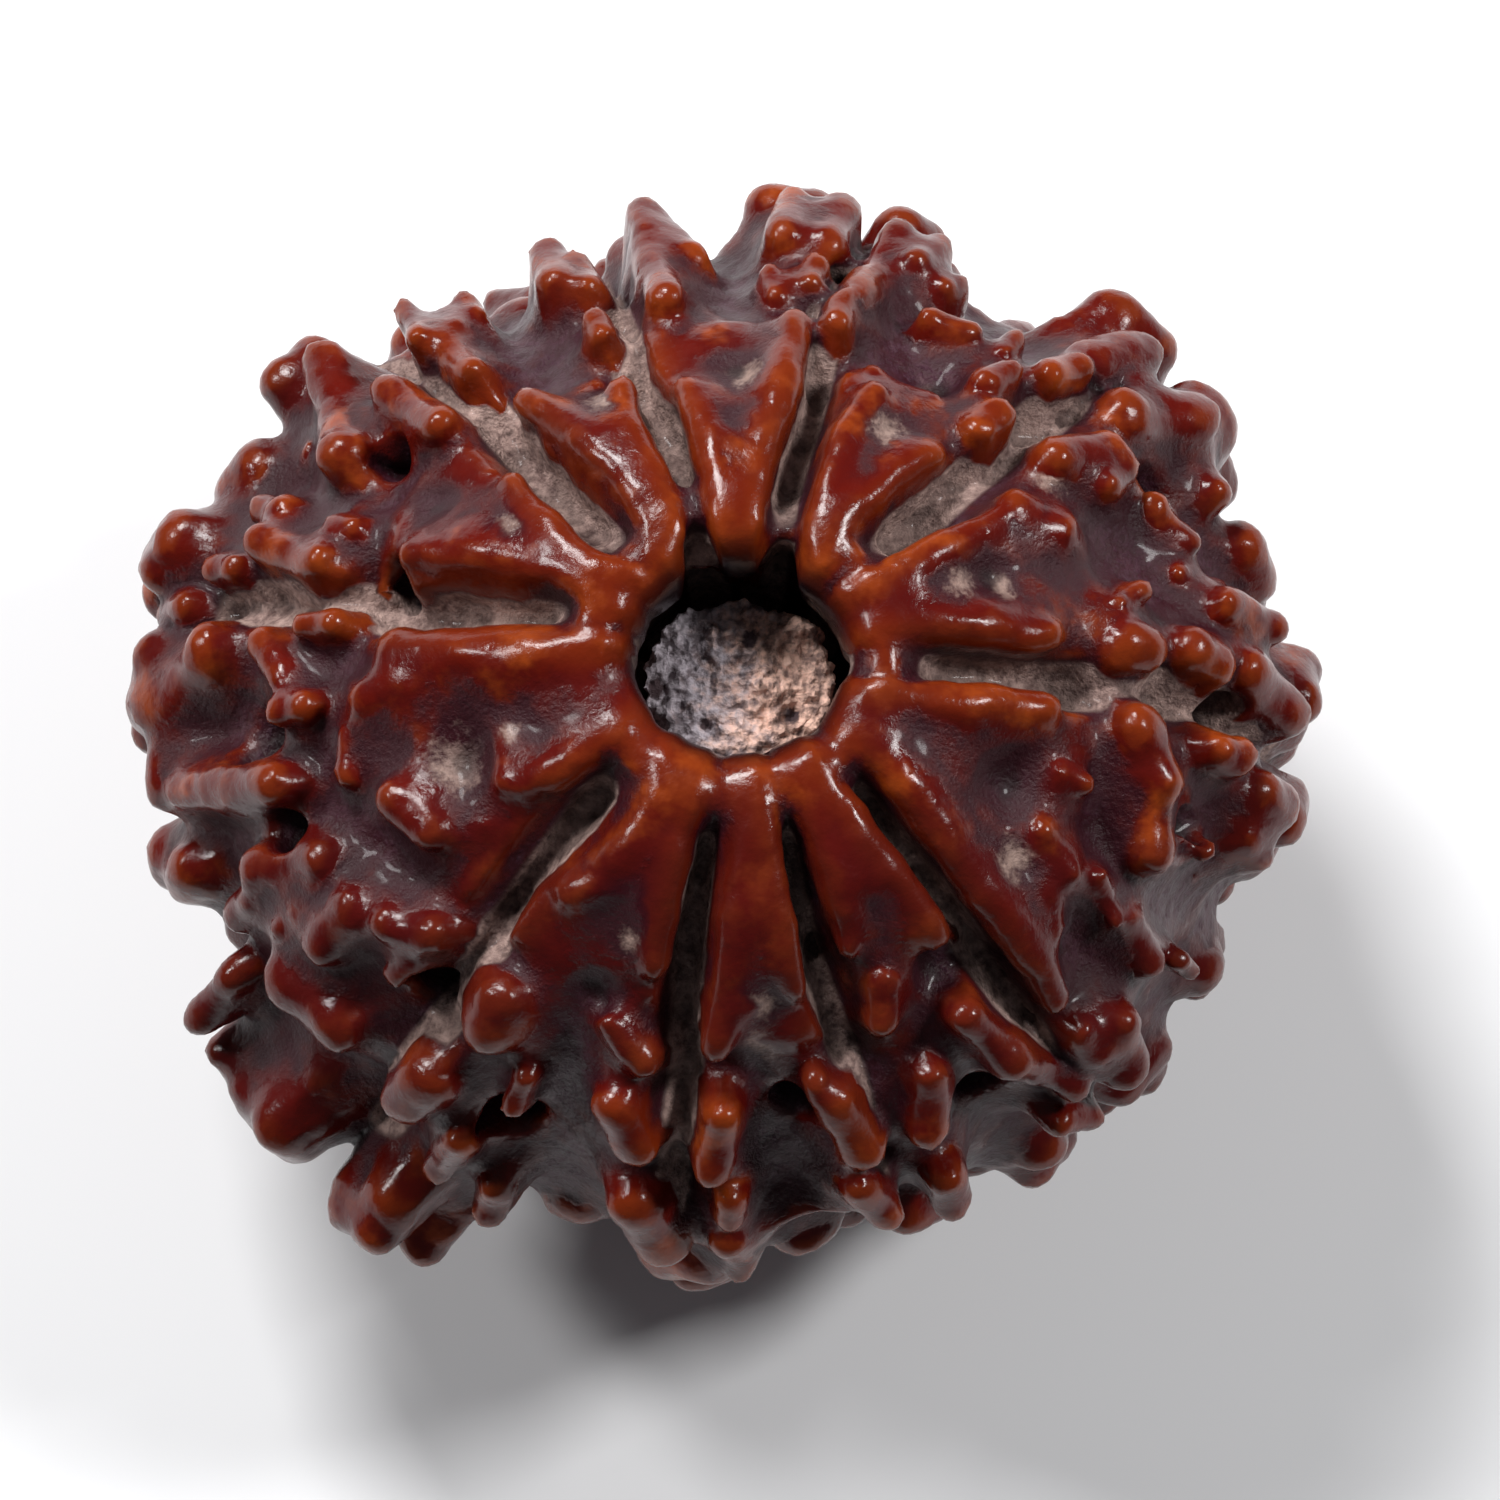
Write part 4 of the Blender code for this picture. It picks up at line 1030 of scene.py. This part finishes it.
class Nodes:
    """Short calls that build a material's nodes."""

    def __init__(self, name):
        self.material = bpy.data.materials.new(name)
        self.material.use_nodes = True
        self.tree = self.material.node_tree
        self.shader = self.tree.nodes["Principled BSDF"]
        coordinates = self.add("ShaderNodeTexCoord")
        mapping = self.add("ShaderNodeMapping")
        mapping.inputs["Scale"].default_value = (1 / MM, 1 / MM, 1 / MM)
        self.tree.links.new(coordinates.outputs["Object"], mapping.inputs["Vector"])
        self.place = mapping.outputs["Vector"]

    def add(self, kind, **values):
        """A node with its values set."""
        node = self.tree.nodes.new(kind)
        for name, value in values.items():
            setattr(node, name, value)
        return node

    def put(self, socket, value):
        """Links a socket to another, or sets it to a value."""
        if isinstance(value, bpy.types.NodeSocket):
            self.tree.links.new(value, socket)
        else:
            socket.default_value = value

    def attribute(self, name):
        """A value kept for each point of the mesh."""
        return self.add("ShaderNodeAttribute", attribute_name=name).outputs["Fac"]

    def noise(self, size, detail=4.0):
        """Cloudy noise with lumps of a size in millimetres."""
        node = self.add("ShaderNodeTexNoise")
        self.put(node.inputs["Vector"], self.place)
        node.inputs["Scale"].default_value = 1 / size
        node.inputs["Detail"].default_value = detail
        node.inputs["Roughness"].default_value = CLOUD_ROUGHNESS
        return node.outputs["Fac"]

    def cells(self, size):
        """The distance to the middle of the nearest grain, for grains of a size in millimetres."""
        node = self.add("ShaderNodeTexVoronoi")
        self.put(node.inputs["Vector"], self.place)
        node.inputs["Scale"].default_value = 1 / size
        return node.outputs["Distance"]

    def chain(self, operation, values):
        """Arithmetic on values, one after another."""
        result = values[0]
        for value in values[1:]:
            node = self.add("ShaderNodeMath", operation=operation)
            self.put(node.inputs[0], result)
            self.put(node.inputs[1], value)
            result = node.outputs[0]
        return result

    def plus(self, *values):
        """The sum of values."""
        return self.chain("ADD", values)

    def times(self, *values):
        """The product of values."""
        return self.chain("MULTIPLY", values)

    def most(self, *values):
        """The greatest of values."""
        return self.chain("MAXIMUM", values)

    def ramp(self, value, low, high, to_low=0.0, to_high=1.0):
        """A value taken softly from one range to another."""
        node = self.add("ShaderNodeMapRange", interpolation_type="SMOOTHSTEP")
        for name, part in (("Value", value), ("From Min", low), ("From Max", high),
                           ("To Min", to_low), ("To Max", to_high)):
            self.put(node.inputs[name], part)
        return node.outputs["Result"]

    def mix(self, share, a, b):
        """A colour between two."""
        node = self.add("ShaderNodeMix", data_type="RGBA")
        self.put(node.inputs[0], share)
        self.put(node.inputs[6], a)
        self.put(node.inputs[7], b)
        return node.outputs[2]

    def position(self, axis):
        """Where a point lies along X, Y or Z, in millimetres."""
        node = self.add("ShaderNodeSeparateXYZ")
        self.put(node.inputs[0], self.place)
        return node.outputs[axis]

    def bump(self, height, depth, under=None):
        """A normal that is roughened by a height, with depth in millimetres."""
        node = self.add("ShaderNodeBump")
        self.put(node.inputs["Height"], height)
        node.inputs["Distance"].default_value = depth * MM
        if under:
            self.put(node.inputs["Normal"], under)
        return node.outputs["Normal"]


# Colours, as linear red, green and blue.
CREST_RED = (0.092, 0.0046, 0.0020, 1)
CREST_ORANGE = (0.250, 0.040, 0.0050, 1)
FLANK_MAROON = (0.056, 0.0034, 0.0036, 1)
WEB_PURPLE = (0.030, 0.0038, 0.0070, 1)
FILM_GREY = (0.085, 0.030, 0.052, 1)
DUST = (0.500, 0.345, 0.300, 1)
# Dark streaks in the dust, and the painted shade where the dust meets the walls of a cleft.
DARK_DUST_AND_SHADE = (0.085, 0.044, 0.040, 1)
SPOT_PALE = (0.380, 0.260, 0.215, 1)
# Painted shade, nearly black, for deep creases, the deepest pits and the canal.
SHADE_BLACK = (0.010, 0.003, 0.004, 1)
PITH_GREY = (0.500, 0.440, 0.480, 1)
PITH_PINK = (0.900, 0.560, 0.440, 1)
# Painted shade in the gaps between the pith's crumbs and in its pits.
PITH_SHADE = (0.050, 0.026, 0.030, 1)


# The sizes of the clouds, streaks and grain in the stone's finish, how finely they are drawn, how much the
# patches and the speckles are felt, their middle value, and how far clouds shift a border, in millimetres.
CLOUD = 1.8
BROAD_CLOUD = 2.6
FINE_CLOUD = 0.45
STREAK = 0.28
GRAIN = 0.11
MIDDLE_DETAIL = 5.0
FINE_DETAIL = 6.0
PATCHINESS = 1.2
SPECKLES = 0.8
NOISE_MIDDLE = 0.5
CLOUD_SHIFT = 2.0

# How much streaks, grain and clouds count in the dust.
STREAK_SHARE = 0.7
GRAIN_SHARE = 0.3
CLOUD_SHARE = 0.5

# How much a sharp bulge, a broad bulge and sheer height count towards a crest, and the least height.
CREST_BULGE = 0.65
CREST_BROAD = 0.31
CREST_HEIGHT = 0.22
LEAST_HEIGHT = 0.1

# Where each part of the stone's finish begins and is full, on the value that it follows, and, where four
# numbers are given, its share at either end.
ORANGE_CLOUDS = (0.50, 0.72)
MAROON_CLOUDS = (0.55, 0.38, 0.0, 0.6)
# Painted light: the tips of the knobs turn orange, as lit tips.
TIP_LIGHT = (0.9, 2.2, 0.0, 0.4)
# Painted glow: the banks of the clefts turn orange, as light shining through their thin walls.
BANK_GLOW = (0.3, 0.9, 0.0, 0.25)
FRONT_BEGINS = (-1.0, -3.5, 0.0, 0.6)
FRONT_ENDS = (-8.5, -7.0)
FLANKS = (-0.4, 0.3)
CRESTS = (-0.12, 0.90)
DISH_SHADE = (0.0, 0.7, 0.0, 0.9)
DISH_CRESTS = (0.9, 0.3)
SPOT_SHADE = (0.35, 1.1, 0.0, 0.8)
SPOT_CRESTS = (0.6, 0.2)
LOW_GROUND = (0.10, -0.30)
FILM_CRESTS = (0.15, -0.60)
FILM_HEIGHT = (0.45, 0.05)
FILM_CLOUDS = (0.90, 1.18, 0.06, 0.65)
SETTLED_HOLLOWS = (0.35, -0.35)
SETTLED_HEIGHT = (0.45, 0.1)
SETTLED_CLOUDS = (0.50, 0.75, 0.0, 0.4)
CLEFT_DUST = (0.35, 0.8)
# Painted shade: the dust darkens towards the walls of a cleft.
CLEFT_WALL_SHADE = (0.95, 0.45)
DUST_STREAKS = (0.50, 0.98)
# Painted shade: broad hollows, sharp creases and the deepest pits go nearly black, less so on the dust of the
# clefts.
GROUND_SHADE = (-0.9, -1.9)
CREASE_SHADE = (-0.8, -2.0, 0.0, 0.8)
DEEP_CLEFTS = (0.3, 0.9, 1.0, 0.6)
PIT_SHADE_RAMP = (0.1, 0.6)
POLISH = (0.3, 0.7, 0.15, 0.27)
DULL_CRESTS = (0.5, -0.1, 0.0, 0.4)

# The oil's shine, how much rougher it is where it is dull, and the fine relief of the wood and of the grit.
SPECULAR = 0.22
COAT = 0.08
COAT_ROUGHNESS = 0.12
DULLNESS = 0.5
RELIEF_SIZE = 0.5
RELIEF = 0.035
GRIT_RELIEF = 0.10
LEAST_GRIT = 0.05


def stone_values(n):
    """What the stone's finish is mixed by: the values kept for each point, and clouds and grain."""
    v = SimpleNamespace()
    for name in ("height", "bulge", "broad", "cleft", "bank", "dish", "pit", "spot", "canal"):
        setattr(v, name, n.attribute(name))
    v.cloud = n.noise(CLOUD)
    v.fine_cloud = n.noise(FINE_CLOUD)
    v.grain = n.noise(GRAIN, FINE_DETAIL)
    v.patchy = n.times(n.plus(v.fine_cloud, -NOISE_MIDDLE), PATCHINESS)
    v.low = n.ramp(v.broad, *LOW_GROUND)
    v.crest = n.plus(n.times(v.bulge, CREST_BULGE), n.times(v.broad, CREST_BROAD),
                     n.times(n.most(v.height, LEAST_HEIGHT), CREST_HEIGHT), v.patchy)
    return v


def wood_colour(n, v):
    """Red and orange crests, darker in front of the canal, maroon flanks, and purple webs and dishes, with
    painted light on the knob tips and a painted glow of light through the thin walls of the cleft banks.
    """
    red = n.mix(n.ramp(v.cloud, *ORANGE_CLOUDS), CREST_RED, CREST_ORANGE)
    red = n.mix(n.ramp(n.noise(BROAD_CLOUD), *MAROON_CLOUDS), red, FLANK_MAROON)
    # Painted light on the knob tips.
    red = n.mix(n.ramp(n.plus(v.bulge, v.patchy), *TIP_LIGHT), red, CREST_ORANGE)
    # Painted glow on the banks of the clefts.
    red = n.mix(n.ramp(v.bank, *BANK_GLOW), red, CREST_ORANGE)
    ahead = n.plus(n.position("Y"), n.times(v.cloud, CLOUD_SHIFT))
    red = n.mix(n.times(n.ramp(ahead, *FRONT_BEGINS), n.ramp(ahead, *FRONT_ENDS)), red, FLANK_MAROON)
    colour = n.mix(n.ramp(v.crest, *FLANKS), WEB_PURPLE, FLANK_MAROON)
    colour = n.mix(n.ramp(v.crest, *CRESTS), colour, red)
    dish = n.times(n.ramp(n.plus(v.dish, v.patchy), *DISH_SHADE), n.ramp(v.crest, *DISH_CRESTS))
    colour = n.mix(dish, colour, WEB_PURPLE)
    speckled = n.times(n.plus(v.grain, -NOISE_MIDDLE), SPECKLES)
    spot = n.ramp(n.plus(v.spot, v.patchy, speckled), *SPOT_SHADE)
    return n.mix(n.times(spot, n.ramp(v.crest, *SPOT_CRESTS)), colour, SPOT_PALE)


def film_share(n, v):
    """How much thin grey film lies on the low ground between the knobs."""
    low = n.times(n.ramp(v.crest, *FILM_CRESTS), n.ramp(v.height, *FILM_HEIGHT), v.low)
    return n.times(low, n.ramp(n.plus(v.fine_cloud, v.grain), *FILM_CLOUDS))


def dust_share(n, v):
    """How much dust there is: all over the floors of the clefts, and in patches in other hollows."""
    hollow = n.times(n.ramp(n.plus(v.bulge, v.grain), *SETTLED_HOLLOWS), n.ramp(v.height, *SETTLED_HEIGHT))
    settled = n.times(hollow, v.low, n.ramp(v.fine_cloud, *SETTLED_CLOUDS))
    return n.most(settled, n.ramp(v.cleft, *CLEFT_DUST))


def dust_colour(n, v):
    """Pale dust with dark streaks, and painted shade towards the walls of a cleft."""
    streak = n.times(n.noise(STREAK, MIDDLE_DETAIL), STREAK_SHARE)
    streak = n.plus(streak, n.times(v.grain, GRAIN_SHARE), n.times(v.cloud, CLOUD_SHARE))
    dust = n.mix(n.ramp(streak, *DUST_STREAKS), DARK_DUST_AND_SHADE, DUST)
    # Painted shade towards the walls of a cleft.
    return n.mix(n.ramp(v.cleft, *CLEFT_WALL_SHADE), dust, DARK_DUST_AND_SHADE)


def painted_shade_share(n, v):
    """How much painted shade, nearly black, lies in deep creases, in the pits and down the canal."""
    deep = n.most(n.ramp(v.broad, *GROUND_SHADE), n.ramp(v.bulge, *CREASE_SHADE))
    deep = n.times(deep, n.ramp(v.cleft, *DEEP_CLEFTS))
    return n.most(deep, v.canal, n.ramp(v.pit, *PIT_SHADE_RAMP))


def stone_material():
    """Oiled wood, glossy on the crests and duller in the hollows, with film, dust and painted shade in the
    holes.
    """
    n = Nodes("oiled_stone")
    v = stone_values(n)
    film = film_share(n, v)
    dusty = dust_share(n, v)
    colour = n.mix(film, wood_colour(n, v), FILM_GREY)
    colour = n.mix(dusty, colour, dust_colour(n, v))
    # Painted shade, nearly black, over the creases, the pits and the canal.
    n.put(n.shader.inputs["Base Color"], n.mix(painted_shade_share(n, v), colour, SHADE_BLACK))

    matt = n.most(dusty, film, n.ramp(v.crest, *DULL_CRESTS))
    rough = n.plus(n.ramp(v.fine_cloud, *POLISH), n.times(matt, DULLNESS))
    n.put(n.shader.inputs["Roughness"], rough)
    n.shader.inputs["Specular IOR Level"].default_value = SPECULAR
    n.shader.inputs["Coat Weight"].default_value = COAT
    n.shader.inputs["Coat Roughness"].default_value = COAT_ROUGHNESS

    relief = n.bump(n.noise(RELIEF_SIZE, MIDDLE_DETAIL), RELIEF)
    grit = n.times(v.grain, n.plus(matt, LEAST_GRIT))
    n.put(n.shader.inputs["Normal"], n.bump(grit, GRIT_RELIEF, relief))
    return n.material


# The pith's finish: the sizes of its clouds, flecks, patches, crumbs and grain, how much they count, where
# along X it turns from grey to pink, and where the painted shade of its gaps and pits begins and is full.
PITH_CLOUD = 0.9
PITH_FLECK = 0.25
PITH_PATCH = 0.35
PITH_HOLE_EDGE = 0.2
PITH_CELLS = 0.22
PITH_GRAIN = 0.16
PITH_ROUGH_DETAIL = 3.0
PITH_FLECK_DETAIL = 2.0
FLECK_SHIFT = 3.0
PATCH_SHARE = 0.8
PITH_GRAIN_SHARE = 0.5
PITH_RELIEF = 0.12
PITH_ROUGHNESS = 0.8
PITH_TURN = (1.4, 3.4)
PITH_GAP_SHADE = (0.50, 0.76, 0.80, 0.0)
PITH_PIT_SHADE = (0.35, 0.75)


def pith_material():
    """Dry crumbs of pith, bluish grey on the left and pink on the right, with painted shade in the gaps and
    pits.
    """
    n = Nodes("dry_pith")
    grain = n.noise(PITH_GRAIN, FINE_DETAIL)
    flecks = n.times(n.noise(PITH_FLECK, PITH_FLECK_DETAIL), FLECK_SHIFT)
    side = n.plus(n.position("X"), n.times(n.noise(PITH_CLOUD), CLOUD_SHIFT), flecks)
    colour = n.mix(n.ramp(side, *PITH_TURN), PITH_GREY, PITH_PINK)
    patch = n.times(n.noise(PITH_PATCH, PITH_ROUGH_DETAIL), PATCH_SHARE)
    patch = n.plus(n.times(grain, PITH_GRAIN_SHARE), patch)
    # Painted shade in the gaps between crumbs.
    colour = n.mix(n.ramp(patch, *PITH_GAP_SHADE), colour, PITH_SHADE)
    pit = n.plus(n.attribute("pit"), n.noise(PITH_HOLE_EDGE, PITH_ROUGH_DETAIL), -NOISE_MIDDLE)
    # Painted shade in the pits.
    n.put(n.shader.inputs["Base Color"], n.mix(n.ramp(pit, *PITH_PIT_SHADE), colour, PITH_SHADE))
    n.shader.inputs["Roughness"].default_value = PITH_ROUGHNESS
    n.put(n.shader.inputs["Normal"], n.bump(n.plus(grain, n.cells(PITH_CELLS)), PITH_RELIEF))
    return n.material


def plain_material(name, colour, roughness):
    """A plain matt finish for the studio."""
    n = Nodes(name)
    n.shader.inputs["Base Color"].default_value = colour
    n.shader.inputs["Roughness"].default_value = roughness
    return n.material


def dress(piece, material, node):
    """Gives a piece its finish, attaches it to the root body and hides the CAD part of the node that it
    stands for.
    """
    piece.data.materials.clear()
    piece.data.materials.append(material)
    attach(piece, "root")
    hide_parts(node)


# The camera: its height over the horizon and its distance, the photograph's side in pixels, metres a pixel
# and shift, and the camera's sensor and nearest sight.
CAMERA_ELEVATION = 78.0
CAMERA_DISTANCE = 0.160
PHOTO_SIDE = 1500
PHOTO_SCALE = 0.000022
PHOTO_SHIFT = (10, 5)
SENSOR = 36.0
CLIP_START = 0.01


def add_camera():
    """The camera at the photograph's angle and framing."""
    data = bpy.data.cameras.new("camera")
    data.sensor_width = SENSOR
    data.lens = SENSOR * CAMERA_DISTANCE / (PHOTO_SIDE * PHOTO_SCALE)
    data.clip_start = CLIP_START
    camera = bpy.data.objects.new("camera", data)
    bpy.context.collection.objects.link(camera)
    e = math.radians(CAMERA_ELEVATION)
    back = Vector((0, -math.cos(e), math.sin(e)))
    right = Vector((1, 0, 0))
    up = back.cross(right)
    aim = Vector((0, 0, GIRDLE_HEIGHT * MM))
    aim += (right * PHOTO_SHIFT[0] - up * PHOTO_SHIFT[1]) * PHOTO_SCALE
    camera.location = aim + back * CAMERA_DISTANCE
    camera.rotation_euler = (math.radians(90) - e, 0, 0)
    bpy.context.scene.camera = camera


# The lights, each its name, place, side and power, and the floor and the room.
LIGHTS = (
    ("key", (-0.07, 0.15, 0.18), 0.06, 0.56),
    ("left", (-0.15, 0.06, 0.16), 0.035, 0.20),
    ("right", (0.16, 0.05, 0.18), 0.040, 0.38),
)
FLOOR_SIDE = 1.2
FLOOR_COLOUR = (0.86, 0.86, 0.87, 1)
FLOOR_ROUGHNESS = 0.9
ROOM_COLOUR = (0.9, 0.93, 1.0, 1)
ROOM_STRENGTH = 0.08


def add_light(name, where, side, power):
    """A soft square light that faces the bead."""
    data = bpy.data.lights.new(name, "AREA")
    data.size = side
    data.energy = power
    light = bpy.data.objects.new(name, data)
    bpy.context.collection.objects.link(light)
    light.location = where
    aim = Vector((0, 0, GIRDLE_HEIGHT * MM))
    light.rotation_euler = (light.location - aim).to_track_quat("Z", "Y").to_euler()


def add_studio():
    """A pale floor, soft lights and a pale room."""
    bpy.ops.object.select_all(action="DESELECT")
    bpy.ops.mesh.primitive_plane_add(size=FLOOR_SIDE)
    floor = bpy.context.object
    floor.name = "floor"
    floor.data.materials.append(plain_material("pale_floor", FLOOR_COLOUR, FLOOR_ROUGHNESS))
    for light in LIGHTS:
        add_light(*light)
    world = bpy.data.worlds.new("room")
    world.use_nodes = True
    background = world.node_tree.nodes["Background"]
    background.inputs["Color"].default_value = ROOM_COLOUR
    background.inputs["Strength"].default_value = ROOM_STRENGTH
    bpy.context.scene.world = world
    bpy.context.scene.view_settings.view_transform = "Standard"


stone = finish_stone()
dress(stone, stone_material(), "stone")
pith = model_pith()
dress(pith, pith_material(), "pith")
add_camera()
add_studio()
